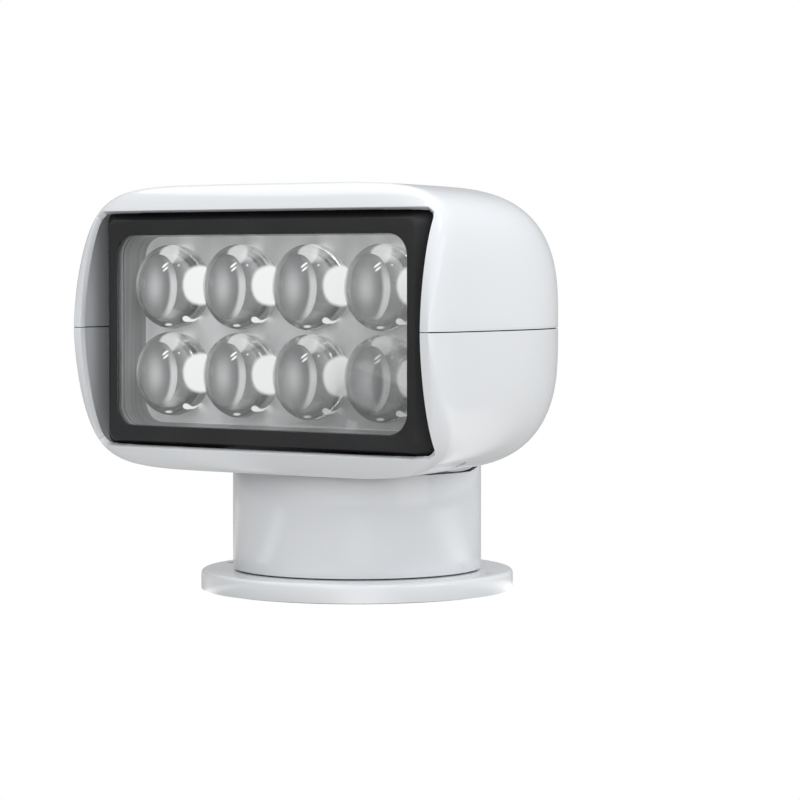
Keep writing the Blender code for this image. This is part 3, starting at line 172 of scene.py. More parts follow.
class Graph:
    """The node tree of one material, or of the world."""

    def __init__(self, name: str, world: bool = False) -> None:
        """Makes an empty material, or a world, of that name."""
        self.owner = bpy.data.worlds.new(name) if world else bpy.data.materials.new(name)
        self.owner.use_nodes = True
        self.tree = self.owner.node_tree
        self.tree.nodes.clear()
        self.output = self.tree.nodes.new("ShaderNodeOutputWorld" if world else "ShaderNodeOutputMaterial")

    def node(
        self, kind: str, settings: dict[str, Any] | None = None, values: dict[Any, Any] | None = None
    ) -> bpy.types.Node:
        """Adds any node.

        Args:
            kind: The node's type.
            settings: Its own settings, with "stops" for a colour ramp.
            values: A number, colour or signal for each socket, by name or place.

        Returns:
            The node.
        """
        made = self.tree.nodes.new(kind)
        for key, value in (settings or {}).items():
            if key == "stops":
                self._set_stops(made.color_ramp, value)
            else:
                setattr(made, key, value)
        for key, value in (values or {}).items():
            if isinstance(value, Signal):
                self.tree.links.new(value.socket, made.inputs[key])
            else:
                made.inputs[key].default_value = value
        return made

    def add(
        self,
        kind: str,
        settings: dict[str, Any] | None = None,
        values: dict[Any, Any] | None = None,
        out: Any = 0,
    ) -> Signal:
        """Adds any node and gives one of its results.

        Args:
            kind: The node's type.
            settings: Its own settings.
            values: A number, colour or signal for each socket.
            out: The result's name or place.

        Returns:
            That result.
        """
        return Signal(self, self.node(kind, settings, values).outputs[out])

    @staticmethod
    def _set_stops(ramp: bpy.types.ColorRamp, stops: Sequence[tuple[float, float]]) -> None:
        """Sets a ramp to grey stops of (place, level)."""
        while len(ramp.elements) < len(stops):
            ramp.elements.new(1.0)
        for element, (place, level) in zip(ramp.elements, stops):
            element.position = place
            element.color = (level, level, level, 1.0)

    def place(self, centre: Point = (0.0, 0.0, 0.0), scale: Point = (1.0, 1.0, 1.0)) -> Signal:
        """The point on the piece, in metres, about a centre and scaled.

        Args:
            centre: The point that becomes the origin.
            scale: The scale along each axis.

        Returns:
            The point as a vector.
        """
        at = self.add("ShaderNodeTexCoord", out="Object")
        shift = self.add("ShaderNodeVectorMath", {"operation": "SUBTRACT"}, {0: at, 1: centre})
        return self.add("ShaderNodeVectorMath", {"operation": "MULTIPLY"}, {0: shift, 1: scale})

    def parts(self, vector: Signal) -> tuple[Signal, Signal, Signal]:
        """The three parts of a vector."""
        split = self.node("ShaderNodeSeparateXYZ", values={0: vector})
        return Signal(self, split.outputs[0]), Signal(self, split.outputs[1]), Signal(self, split.outputs[2])

    def noise(self, scale: float, detail: float = 2.0, vector: Signal | None = None) -> Signal:
        """Noise from 0 to 1 on the piece's own coordinates.

        Args:
            scale: Cells per metre.
            detail: Octaves.
            vector: The coordinates, if not the plain ones.

        Returns:
            The noise.
        """
        values = {"Vector": vector or self.place(), "Scale": scale, "Detail": detail}
        return self.add("ShaderNodeTexNoise", None, values)

    def level(self, value: Any) -> Signal:
        """A grey colour from one value."""
        return self.add("ShaderNodeCombineColor", None, {0: value, 1: value, 2: value})

    def cell(self, pitch: float, middle: float) -> tuple[Signal, Signal]:
        """Where a point lies in its lens's own cell, in millimetres across and up from its centre.

        Args:
            pitch: The lens pitch.
            middle: The height half way between the rows.

        Returns:
            The distance across and the distance up.
        """
        across, _, up = self.parts(self.place((0.0, 0.0, middle)))
        wrapped = []
        for part in (across, up):
            turns = part / pitch - 0.5
            share = self.add("ShaderNodeMath", {"operation": "WRAP"}, {0: turns, 1: 0.5, 2: -0.5})
            wrapped.append(share * (pitch / MM))
        return wrapped[0], wrapped[1]

    def spot(
        self,
        at: tuple[Signal, Signal],
        centre: tuple[float, float],
        half: tuple[float, float],
        turn: float = 0.0,
        soft: float = 0.3,
    ) -> Signal:
        """An oval that is 1 inside and fades out at its rim.

        Args:
            at: The point's two coordinates.
            centre: The oval's centre.
            half: Its half length and half width.
            turn: How far its length is turned from across to up, in degrees.
            soft: The share of its size over which it fades.

        Returns:
            The strength.
        """
        across, up = at[0] - centre[0], at[1] - centre[1]
        cosine, sine = math.cos(math.radians(turn)), math.sin(math.radians(turn))
        along = (across * cosine + up * sine) / half[0]
        beside = (up * cosine - across * sine) / half[1]
        away = (along * along + beside * beside) ** 0.5
        return 1 - away.fitted(1 - soft, 1 + soft)

    def blend(self, share: Any, first: Any, second: Any) -> Signal:
        """A colour between two.

        Args:
            share: 0 for the first and 1 for the second.
            first: A colour.
            second: A colour.

        Returns:
            The blended colour.
        """
        made = self.node("ShaderNodeMix", {"data_type": "RGBA"})
        for key, value in (("Factor_Float", share), ("A_Color", first), ("B_Color", second)):
            socket = next(s for s in made.inputs if s.identifier == key)
            if isinstance(value, Signal):
                self.tree.links.new(value.socket, socket)
            else:
                socket.default_value = value
        return Signal(self, next(s for s in made.outputs if s.identifier == "Result_Color"))

    def bump(self, height: Signal, depth: float, strength: float = 1.0) -> Signal:
        """A normal from a height.

        Args:
            height: The height, from 0 to 1.
            depth: What a height of 1 stands for, in metres.
            strength: The share of it that shows.

        Returns:
            The normal.
        """
        values = {"Height": height, "Distance": depth, "Strength": strength}
        return self.add("ShaderNodeBump", None, values, "Normal")

    def surface(self, values: dict[str, Any]) -> Signal:
        """A Principled shader with those sockets set."""
        return self.add("ShaderNodeBsdfPrincipled", None, values)

    def finish(self, shader: Signal) -> Any:
        """Links a shader to the output and gives the material or the world."""
        self.tree.links.new(shader.socket, self.output.inputs["Surface"])
        return self.owner


def grey(level: float, warm: float = 0.0) -> tuple[float, float, float, float]:
    """A grey, warmed or cooled a little."""
    return (level * (1 + warm), level, level * (1 - warm), 1.0)


# Finishes


@dataclass(frozen=True)
class Gelcoat:
    """Glossy white lacquer over moulded plastic."""

    name: str = "white_gelcoat"
    level: float = 0.80
    shade: float = 0.985
    cool: tuple[float, float] = (-0.022, -0.014)
    roughness: float = 0.16
    coat: float = 0.85
    coat_roughness: float = 0.04
    cloud_scale: float = 9.0
    film_scale: float = 55.0
    peel_scale: float = 420.0
    peel_depth: float = 0.02 * MM
    peel_strength: float = 0.35

    def make(self) -> bpy.types.Material:
        """Builds the material.

        Returns:
            The material.
        """
        graph = Graph(self.name)
        cloud = graph.noise(self.cloud_scale, 3.0)
        film = graph.noise(self.film_scale, 4.0)
        peel = graph.noise(self.peel_scale, 1.0)
        dull = grey(self.level * self.shade, self.cool[0])
        colour = graph.blend(cloud.fitted(0.3, 0.7), dull, grey(self.level, self.cool[1]))
        rough = film.fitted(0.35, 0.7, self.roughness * 0.85, self.roughness * 1.3)
        shader = graph.surface(
            {
                "Base Color": colour,
                "Roughness": rough,
                "IOR": 1.5,
                "Coat Weight": self.coat,
                "Coat Roughness": self.coat_roughness,
                "Normal": graph.bump(peel, self.peel_depth, self.peel_strength),
            }
        )
        return graph.finish(shader)


@dataclass(frozen=True)
class Moulded:
    """Moulded plastic or rubber with a fine spark-eroded grain."""

    name: str
    colour: tuple[float, float, float]
    roughness: float
    grain: float = 900.0
    depth: float = 0.06 * MM
    shine: float = 0.5
    cloud_scale: float = 26.0
    bloom: tuple[float, float] = (1.18, 0.002)

    def make(self) -> bpy.types.Material:
        """Builds the material.

        Returns:
            The material.
        """
        graph = Graph(self.name)
        cloud = graph.noise(self.cloud_scale, 3.0)
        grain = graph.noise(self.grain, 2.0)
        light = tuple(min(1.0, part * self.bloom[0] + self.bloom[1]) for part in self.colour)
        colour = graph.blend(cloud.fitted(0.3, 0.7), (*self.colour, 1.0), (*light, 1.0))
        rough = grain.fitted(0.3, 0.7, self.roughness * 0.9, self.roughness * 1.12)
        shader = graph.surface(
            {
                "Base Color": colour,
                "Roughness": rough,
                "Specular IOR Level": self.shine,
                "Normal": graph.bump(grain, self.depth, 0.5),
            }
        )
        return graph.finish(shader)


@dataclass(frozen=True)
class Metal:
    """Bare metal with the fine marks of turning or casting."""

    name: str
    colour: tuple[float, float, float]
    roughness: float
    stretch: Point = (1.0, 1.0, 30.0)
    depth: float = 0.02 * MM
    marks_scale: float = 120.0
    stain_scale: float = 40.0
    stain: float = 0.82

    def make(self) -> bpy.types.Material:
        """Builds the material.

        Returns:
            The material.
        """
        graph = Graph(self.name)
        marks = graph.noise(self.marks_scale, 4.0, graph.place(scale=self.stretch))
        stain = graph.noise(self.stain_scale, 3.0)
        dull = tuple(part * self.stain for part in self.colour)
        colour = graph.blend(stain.fitted(0.35, 0.75), (*self.colour, 1.0), (*dull, 1.0))
        rough = marks.fitted(0.3, 0.7, self.roughness * 0.8, self.roughness * 1.3)
        shader = graph.surface(
            {
                "Base Color": colour,
                "Metallic": 1.0,
                "Roughness": rough,
                "Normal": graph.bump(marks, self.depth, 0.6),
            }
        )
        return graph.finish(shader)


@dataclass(frozen=True)
class WindowGlass:
    """Thin clear glass: it lets light straight through and mirrors more at a slant."""

    name: str = "window_glass"
    clear: tuple[float, float, float] = (0.97, 0.975, 0.975)
    mirror: float = 0.8
    smear_scale: float = 14.0
    ior: float = 1.45
    slant_share: float = 0.9
    most_share: float = 0.6

    def make(self) -> bpy.types.Material:
        """Builds the material.

        Returns:
            The material.
        """
        graph = Graph(self.name)
        clear = graph.add("ShaderNodeBsdfTransparent", None, {"Color": (*self.clear, 1.0)})
        smear = graph.noise(self.smear_scale, 3.0)
        mirror = graph.surface(
            {
                "Base Color": grey(self.mirror),
                "Metallic": 1.0,
                "Roughness": smear.fitted(0.4, 0.8, 0.01, 0.05),
            }
        )
        slant = graph.add("ShaderNodeFresnel", None, {"IOR": self.ior})
        share = (slant * self.slant_share).least(self.most_share)
        return graph.finish(graph.add("ShaderNodeMixShader", None, {0: share, 1: clear, 2: mirror}))


@dataclass(frozen=True)
class LensPlastic:
    """Clear moulded acrylic that part refracts and part mirrors, with painted light: painted highlights glow
    on the sides of the bulb, a faint painted glow covers it, and painted shade darkens its rim and foot.
    """

    name: str = "lens_acrylic"
    ior: float = 1.49
    mirror: float = 0.3
    slant_share: float = 0.8
    most_share: float = 0.85
    clear_level: float = 0.88
    bright_level: float = 0.74
    pitch: float = LENS_PITCH
    middle: float = WINDOW_MIDDLE
    flow_scale: float = 70.0
    mist_scale: float = 240.0
    # Faint painted glow over the whole lens, given as emission
    painted_glow: float = 0.025
    # The inner radius of the painted shade at the rim and of the painted shade on the foot, in the lens's own
    # millimetres
    rim: float = 18.2
    foot: float = 15.8
    # How strongly the painted shade darkens the foot, and how dark the rim and the foot are made
    painted_foot_shade: float = 0.85
    painted_rim_shade: float = 0.7
    # Centre, half size, turn, softness and strength of each painted highlight on the sides of the bulb, in
    # the lens's own millimetres
    painted_highlights: tuple[tuple[tuple[float, float], tuple[float, float], float, float, float], ...] = (
        ((21.5, 0.9), (8.9, 10.2), 0.0, 0.12, 1.0),
        ((3.4, 14.9), (5.4, 4.4), -18.0, 0.2, 0.62),
        ((-16.2, 6.0), (2.4, 9.0), -20.0, 0.6, 0.14),
        ((11.4, -14.9), (1.7, 1.0), 48.0, 0.2, 0.95),
        ((2.0, -17.6), (2.0, 0.6), 6.0, 0.3, 0.75),
        ((9.9, 9.9), (0.5, 0.45), 0.0, 0.3, 0.9),
    )

    def make(self) -> bpy.types.Material:
        """Builds the material.

        Returns:
            The material.
        """
        graph = Graph(self.name)
        at = graph.cell(self.pitch, self.middle)
        flow = graph.noise(self.flow_scale, 2.0)
        # Painted shade: a dark ring at the rim, stronger towards the bottom, and a darker lower foot; both
        # shaders' base colours are scaled by it
        past_rim = 1 - graph.spot(at, (0.0, 0.0), (self.rim, self.rim), 0.0, 0.03)
        past_foot = 1 - graph.spot(at, (0.0, 0.0), (self.foot, self.foot), 0.0, 0.1)
        rim = past_rim * at[1].fitted(14.0, -12.0, 0.3, 1.0)
        foot = past_foot * at[1].fitted(-4.0, -14.0)
        left_after_painted_shade = 1 - rim.most(foot * self.painted_foot_shade) * self.painted_rim_shade
        clear = graph.surface(
            {
                "Base Color": graph.level(left_after_painted_shade * self.clear_level),
                "Roughness": flow.fitted(0.35, 0.7, 0.01, 0.03),
                "IOR": self.ior,
                "Transmission Weight": 1.0,
            }
        )
        bright = graph.surface(
            {
                "Base Color": graph.level(left_after_painted_shade * self.bright_level),
                "Metallic": 1.0,
                "Roughness": flow.fitted(0.35, 0.7, 0.02, 0.05),
            }
        )
        slant = graph.add("ShaderNodeFresnel", None, {"IOR": self.ior})
        share = (slant * self.slant_share + self.mirror).least(self.most_share)
        glassy = graph.add("ShaderNodeMixShader", None, {0: share, 1: clear, 2: bright})
        # Painted glow and painted highlights, given as emission: a faint glow all over the lens and a bright
        # spot at each listed highlight
        glow = graph.noise(self.mist_scale, 3.0).fitted(0.3, 0.7, self.painted_glow * 0.6, self.painted_glow * 1.4)
        for centre, half, turn, soft, strength in self.painted_highlights:
            glow = glow.most(graph.spot(at, centre, half, turn, soft) * strength)
        painted_light = graph.add("ShaderNodeEmission", None, {"Color": grey(1.0), "Strength": 1.0})
        return graph.finish(graph.add("ShaderNodeMixShader", None, {0: glow, 1: glassy, 2: painted_light}))


@dataclass(frozen=True)
class FrostedCap:
    """Frosted front of a lens, with painted light: a soft painted glow at its centre, a ring of painted
    shade, a bright painted highlight along one side, two strokes of painted reflection and faint painted
    highlights at the other side.

    Centres and half sizes are in the lens's own millimetres, across and up.
    """

    name: str = "frosted_cap"
    pitch: float = LENS_PITCH
    middle: float = WINDOW_MIDDLE
    albedo: float = 0.37
    # Strengths of the painted light, given as emission: the glow at the centre, the faint glow all over, the
    # bright edge, the reflection strokes and the highlights at the side
    painted_glow_heart: float = 0.24
    painted_glow: float = 0.05
    painted_crescent: float = 0.5
    painted_reflection_dash: float = 0.95
    side: float = 0.1
    cloud_scale: float = 160.0
    streak_scale: float = 60.0
    disc_middle: tuple[float, float] = (-3.2, 0.0)
    disc_half: tuple[float, float] = (9.7, 15.4)
    inner_half: tuple[float, float] = (7.8, 12.6)
    heart_middle: tuple[float, float] = (-2.7, 0.0)
    heart_half: tuple[float, float] = (3.4, 6.0)
    dash_turn: float = 33.0
    # Middle and half size of each stroke of painted reflection, and of each painted highlight at the side
    painted_reflection_dashes: tuple[tuple[tuple[float, float], tuple[float, float]], ...] = (
        ((3.3, 9.9), (2.1, 0.55)),
        ((3.7, 8.2), (1.9, 0.5)),
    )
    painted_side_highlights: tuple[tuple[tuple[float, float], tuple[float, float]], ...] = (
        ((-10.6, 2.4), (0.35, 2.4)),
        ((-9.2, 2.0), (0.35, 2.2)),
    )

    def make(self) -> bpy.types.Material:
        """Builds the material.

        Returns:
            The material.
        """
        graph = Graph(self.name)
        at = graph.cell(self.pitch, self.middle)
        cloud = graph.noise(self.cloud_scale, 3.0)
        streak = graph.noise(self.streak_scale, 3.0, graph.place(scale=(5.0, 1.0, 1.0)))
        disc = graph.spot(at, self.disc_middle, self.disc_half, 0.0, 0.12)
        inner = graph.spot(at, self.disc_middle, self.inner_half, 0.0, 0.55)
        painted_glow_heart = graph.spot(at, self.heart_middle, self.heart_half, 0.0, 0.95)
        upper_dash, lower_dash = (graph.spot(at, *painted_reflection_dash, self.dash_turn, 0.3) for painted_reflection_dash in self.painted_reflection_dashes)
        outer_side_highlight, inner_side_highlight = (graph.spot(at, *mark, 0.0, 0.4) for mark in self.painted_side_highlights)
        # Painted highlight: a bright edge to the right of the oval disc, weaker towards the top
        lip = (1 - disc) * at[0].fitted(-2.0, 6.0) * at[1].fitted(11.0, 1.0, 0.3, 1.0)
        # Painted shade: the base tone is darker in the ring outside the inner oval
        tone = (inner * 0.4 + 0.6) * self.albedo + (cloud - 0.5) * 0.05 + (streak - 0.5) * 0.08
        # Painted glow and painted highlight, given as emission: a faint glow everywhere, more inside the
        # inner oval, a soft glow at the centre and the bright edge
        glow = self.painted_glow + inner * 0.03 + painted_glow_heart * self.painted_glow_heart + lip * self.painted_crescent
        # Painted highlights at the side
        glow = glow + outer_side_highlight.most(inner_side_highlight) * self.side
        # Painted reflections: the two bright strokes
        glow = glow.most(upper_dash.most(lower_dash) * self.painted_reflection_dash)
        shader = graph.surface(
            {
                "Base Color": graph.level(tone),
                "Roughness": 0.28,
                "Specular IOR Level": 0.35,
                "Coat Weight": 0.5,
                "Emission Color": graph.level(glow),
                "Emission Strength": 1.0,
            }
        )
        return graph.finish(shader)


@dataclass(frozen=True)
class Silvered:
    """Satin silvered plastic with soft streaks, painted shade that darkens the walls in front of the plate,
    and a painted glow on the plate.
    """

    name: str = "silvered_plastic"
    level: float = 0.86
    wall_painted_shade_level: float = 0.52
    metallic: float = 0.15
    painted_glow: float = 0.13
    # Where the plate begins: the walls in front of it take the painted shade, and the plate takes the painted
    # glow
    plate: float = -57.4 * MM
    plate_fade: float = 0.8 * MM
    streak_scale: float = 60.0
    streak_stretch: Point = (1.0, 7.0, 0.18)
    streak_depth: float = 0.15 * MM
    mist_scale: float = 30.0

    def make(self) -> bpy.types.Material:
        """Builds the material.

        Returns:
            The material.
        """
        graph = Graph(self.name)
        streak = graph.noise(self.streak_scale, 3.0, graph.place(scale=self.streak_stretch))
        mist = graph.noise(self.mist_scale, 3.0)
        plate = graph.parts(graph.place())[1].fitted(self.plate, self.plate + self.plate_fade)
        # Painted shade: the walls get a darker tone than the plate
        tone = plate * (self.level - self.wall_painted_shade_level) + self.wall_painted_shade_level
        tone = tone * streak.fitted(0.3, 0.7, 0.84, 1.06)
        shader = graph.surface(
            {
                "Base Color": graph.level(tone),
                "Metallic": self.metallic,
                "Roughness": mist.fitted(0.3, 0.7, 0.34, 0.45),
                # Painted glow on the plate
                "Emission Color": graph.level(plate * self.painted_glow),
                "Emission Strength": 1.0,
                "Normal": graph.bump(streak, self.streak_depth, 0.3),
            }
        )
        return graph.finish(shader)


@dataclass(frozen=True)
class CircuitBoard:
    """Solder-masked board with copper runs."""

    name: str
    mask: tuple[float, float, float]
    track: tuple[float, float, float]
    track_scale: float = 160.0
    track_depth: float = 0.04 * MM
    roughness: float = 0.42

    def make(self) -> bpy.types.Material:
        """Builds the material.

        Returns:
            The material.
        """
        graph = Graph(self.name)
        cells = graph.add(
            "ShaderNodeTexVoronoi",
            {"feature": "DISTANCE_TO_EDGE", "distance": "EUCLIDEAN"},
            {"Vector": graph.place(), "Scale": self.track_scale, "Randomness": 0.2},
        )
        track = 1 - cells.fitted(0.02, 0.1)
        colour = graph.blend(track, (*self.mask, 1.0), (*self.track, 1.0))
        normal = graph.bump(track, self.track_depth, 0.6)
        values = {"Base Color": colour, "Roughness": self.roughness, "Normal": normal}
        return graph.finish(graph.surface(values))


@dataclass
class Finishes:
    """Every material of the lamp, made once."""

    white: bpy.types.Material = field(default_factory=Gelcoat().make)
    frame: bpy.types.Material = field(
        default_factory=Moulded("frame_plastic", (0.019, 0.019, 0.02), 0.55, shine=0.3).make
    )
    black: bpy.types.Material = field(
        default_factory=Moulded("black_plastic", (0.014, 0.014, 0.015), 0.48).make
    )
    rubber: bpy.types.Material = field(
        default_factory=Moulded("black_rubber", (0.012, 0.012, 0.012), 0.72, 500.0, 0.1 * MM, 0.3).make
    )
    nylon: bpy.types.Material = field(
        default_factory=Moulded("natural_nylon", (0.72, 0.70, 0.62), 0.5, 600.0).make
    )
    glass: bpy.types.Material = field(default_factory=WindowGlass().make)
    lens: bpy.types.Material = field(default_factory=LensPlastic().make)
    frost: bpy.types.Material = field(default_factory=FrostedCap().make)
    edge: bpy.types.Material = field(
        default_factory=Moulded("polished_pane_edge", (0.20, 0.205, 0.205), 0.12, 300.0, 0.02 * MM).make
    )
    silicone: bpy.types.Material = field(
        default_factory=Moulded("clear_silicone", (0.62, 0.63, 0.63), 0.35, 300.0, 0.02 * MM).make
    )
    bright_board: bpy.types.Material = field(
        default_factory=CircuitBoard("white_board", (0.6, 0.6, 0.58), (0.68, 0.68, 0.66)).make
    )
    silvered: bpy.types.Material = field(default_factory=Silvered().make)
    steel: bpy.types.Material = field(default_factory=Metal("stainless_steel", (0.62, 0.62, 0.63), 0.28).make)
    alloy: bpy.types.Material = field(
        default_factory=Metal("cast_alloy", (0.52, 0.53, 0.55), 0.45, (1.0, 1.0, 1.0), 0.08 * MM).make
    )
    bronze: bpy.types.Material = field(default_factory=Metal("bearing_bronze", (0.62, 0.43, 0.2), 0.34).make)
    board: bpy.types.Material = field(
        default_factory=CircuitBoard("green_board", (0.02, 0.13, 0.06), (0.05, 0.26, 0.11)).make
    )

    def of(self, slot: Slot) -> bpy.types.Material:
        """The material that stands for a slot.

        Args:
            slot: The slot.

        Returns:
            Its material.
        """
        return {
            Slot.WHITE: self.white,
            Slot.BLACK: self.black,
            Slot.RUBBER: self.rubber,
            Slot.CLEAR: self.glass,
            Slot.SILVERED: self.silvered,
            Slot.STEEL: self.steel,
            Slot.ALLOY: self.alloy,
            Slot.NYLON: self.nylon,
            Slot.BRONZE: self.bronze,
            Slot.CIRCUIT: self.board,
        }[slot]


# Modelling, as by hand


class Bench:
    """The modelling steps that the sub-assemblies share."""

    @staticmethod
    def clear_selection() -> None:
        """Deselects every object."""
        bpy.ops.object.select_all(action="DESELECT")

    @classmethod
    def only(cls, item: bpy.types.Object) -> bpy.types.Object:
        """Selects one object alone and makes it active."""
        cls.clear_selection()
        item.select_set(True)
        bpy.context.view_layer.objects.active = item
        return item

    @classmethod
    def named(cls, name: str) -> bpy.types.Object:
        """Names the new active object and settles its place into its mesh.

        Args:
            name: The name that the object and its mesh take.

        Returns:
            The object.
        """
        item = bpy.context.active_object
        item.name = name
        item.data.name = name
        cls.only(item)
        bpy.ops.object.transform_apply(location=True, rotation=True, scale=True)
        return item

    @classmethod
    def double(cls, item: bpy.types.Object, name: str) -> bpy.types.Object:
        """A copy of an object with a mesh of its own.

        Args:
            item: The object, left as it is.
            name: The copy's name.

        Returns:
            The copy.
        """
        copy = item.copy()
        copy.data = item.data.copy()
        copy.name = copy.data.name = name
        bpy.context.scene.collection.objects.link(copy)
        return copy

    @classmethod
    def pick(
        cls,
        item: bpy.types.Object,
        faces: Callable[[Any], bool] | None = None,
        edges: Callable[[Any], bool] | None = None,
    ) -> int:
        """Selects faces or edges in code. The object is left in object mode.

        Args:
            item: The object.
            faces: A test on a polygon.
            edges: A test on the two end points of an edge.

        Returns:
            How many were selected.
        """
        mesh = item.data
        mesh.vertices.foreach_set("select", np.zeros(len(mesh.vertices), bool))
        mesh.edges.foreach_set("select", np.zeros(len(mesh.edges), bool))
        mesh.polygons.foreach_set("select", np.zeros(len(mesh.polygons), bool))
        count = 0
        if faces:
            for polygon in mesh.polygons:
                if faces(polygon):
                    polygon.select = True
                    count += 1
        if edges:
            for edge in mesh.edges:
                if edges(tuple(mesh.vertices[i].co for i in edge.vertices)):
                    edge.select = True
                    count += 1
        return count

    @classmethod
    def edit(cls, item: bpy.types.Object, mode: str) -> None:
        """Enters edit mode in a select mode, VERT, EDGE or FACE."""
        cls.only(item)
        bpy.ops.object.mode_set(mode="EDIT")
        bpy.ops.mesh.select_mode(type=mode)

    @staticmethod
    def done() -> None:
        """Leaves edit mode."""
        bpy.ops.object.mode_set(mode="OBJECT")

    @classmethod
    def bevel_edges(
        cls, item: bpy.types.Object, test: Callable[[Any], bool], width: float, segments: int
    ) -> bpy.types.Object:
        """Bevels the edges that pass a test.

        Args:
            item: The object.
            test: A test on the two end points of an edge.
            width: The bevel's width.
            segments: Its segments.

        Returns:
            The object.
        """
        cls.edit(item, "EDGE")
        cls.done()
        if cls.pick(item, edges=test):
            bpy.ops.object.mode_set(mode="EDIT")
            bpy.ops.mesh.bevel(offset=width, segments=segments, affect="EDGES", clamp_overlap=True)
            cls.done()
        return item

    @classmethod
    def slab(
        cls,
        name: str,
        half: tuple[float, float],
        corner: float,
        front: float,
        back: float,
        z: float,
        steps: int = 12,
    ) -> bpy.types.Object:
        """A slab with rounded corners that faces forward.

        Args:
            name: Its name.
            half: Its half width and half height.
            corner: The radius of its corners.
            front: Its front face's place.
            back: Its back face's place.
            z: The height of its middle.
            steps: The segments of each corner.

        Returns:
            The slab.
        """
        bpy.ops.mesh.primitive_cube_add(size=1.0, location=(0.0, (front + back) / 2, z))
        bpy.context.active_object.scale = (2 * half[0], back - front, 2 * half[1])
        item = cls.named(name)

        def runs_back(ends: tuple[Vector, Vector]) -> bool:
            """True for an edge along Y."""
            return abs(ends[0].y - ends[1].y) > abs(back - front) / 2

        return cls.bevel_edges(item, runs_back, corner, steps)

    @classmethod
    def turned(
        cls,
        name: str,
        profile: Sequence[tuple[float, float]],
        centre: Point,
        axis: Axis = Axis.UP,
        steps: int = 128,
        ring: bool = False,
    ) -> bpy.types.Object:
        """Spins a half section round an axis.

        Args:
            name: The piece's name.
            profile: Points of (radius, height along the axis).
            centre: Where the axis starts.
            axis: Whether it runs up, or forward to the viewer of the lamp's front.
            steps: The segments round it.
            ring: Whether the section closes on itself.

        Returns:
            The piece.
        """
        bpy.ops.mesh.primitive_circle_add(vertices=len(profile), radius=1.0, location=(0.0, 0.0, 0.0))
        item = cls.named(name)
        mesh = item.data
        for vertex, (radius, height) in zip(mesh.vertices, profile):
            vertex.co = (radius, 0.0, height) if axis is Axis.UP else (radius, -height, 0.0)
        cls.edit(item, "EDGE")
        if not ring:
            cls.done()
            first, last = 0, len(profile) - 1
            for edge in mesh.edges:
                edge.select = set(edge.vertices) == {first, last}
            bpy.ops.object.mode_set(mode="EDIT")
            bpy.ops.mesh.delete(type="EDGE")
        bpy.ops.mesh.select_all(action="SELECT")
        line = (0.0, 0.0, 1.0) if axis is Axis.UP else (0.0, -1.0, 0.0)
        bpy.ops.mesh.spin(steps=steps, angle=2 * math.pi, center=(0.0, 0.0, 0.0), axis=line)
        bpy.ops.mesh.select_all(action="SELECT")
        bpy.ops.mesh.remove_doubles(threshold=0.002 * MM)
        bpy.ops.mesh.select_all(action="SELECT")
        bpy.ops.mesh.normals_make_consistent(inside=False)
        bpy.ops.transform.translate(value=centre)
        cls.done()
        return item

    @classmethod
    def roller(
        cls,
        name: str,
        reach: Callable[[float], float],
        half: float,
        height: float,
        stops: int = 12,
        steps: int = 192,
    ) -> bpy.types.Object:
        """A body turned round the tilt axis, used to cut.

        Args:
            name: Its name.
            reach: Its radius at a distance across from its middle.
            half: Its half width.
            height: The height of the tilt axis.
            stops: The steps on each side of its middle.
            steps: The segments round it.

        Returns:
            The body.
        """
        places = [half * i / stops for i in range(-stops, stops + 1)]
        profile = [(0.0, -half), *((reach(x), x) for x in places), (0.0, half)]
        item = cls.only(cls.turned(name, profile, (0.0, 0.0, 0.0), Axis.UP, steps))
        item.rotation_euler = (0.0, math.pi / 2, 0.0)
        item.location = (0.0, 0.0, height)
        return cls.named(name)

    @classmethod
    def rod(
        cls, name: str, radius: float, low: float, high: float, centre: tuple[float, float], steps: int = 32
    ) -> bpy.types.Object:
        """An upright rod, used to cut or to build up from.

        Args:
            name: Its name.
            radius: Its radius.
            low: Its lower end.
            high: Its upper end.
            centre: Its place in plan.
            steps: The segments round it.

        Returns:
            The rod.
        """
        place = (centre[0], centre[1], (low + high) / 2)
        bpy.ops.mesh.primitive_cylinder_add(vertices=steps, radius=radius, depth=high - low, location=place)
        return cls.named(name)

    @classmethod
    def block(cls, name: str, low: Point, high: Point) -> bpy.types.Object:
        """A plain block, used to cut.

        Args:
            name: Its name.
            low: Its corner with the least coordinates.
            high: Its corner with the greatest coordinates.

        Returns:
            The block.
        """
        middle = [(a + b) / 2 for a, b in zip(low, high)]
        bpy.ops.mesh.primitive_cube_add(size=1.0, location=middle)
        bpy.context.active_object.scale = [b - a for a, b in zip(low, high)]
        return cls.named(name)

    @classmethod
    def apply(cls, item: bpy.types.Object) -> bpy.types.Object:
        """Applies every modifier of an object.

        Args:
            item: The object.

        Returns:
            The object.
        """
        cls.only(item)
        for modifier in list(item.modifiers):
            bpy.ops.object.modifier_apply(modifier=modifier.name)
        return item

    @classmethod
    def carve(
        cls,
        item: bpy.types.Object,
        cutter: bpy.types.Object,
        operation: str = "DIFFERENCE",
        keep: bool = False,
    ) -> bpy.types.Object:
        """Cuts, joins or keeps what two solids share.

        Args:
            item: The solid that changes.
            cutter: The other solid.
            operation: DIFFERENCE, UNION or INTERSECT.
            keep: Whether the cutter stays for further cuts.

        Returns:
            The changed solid.
        """
        step = item.modifiers.new("carve", "BOOLEAN")
        step.operation = operation
        step.solver = "EXACT"
        step.object = cutter
        cls.apply(item)
        if not keep:
            bpy.data.objects.remove(cutter)
        return item

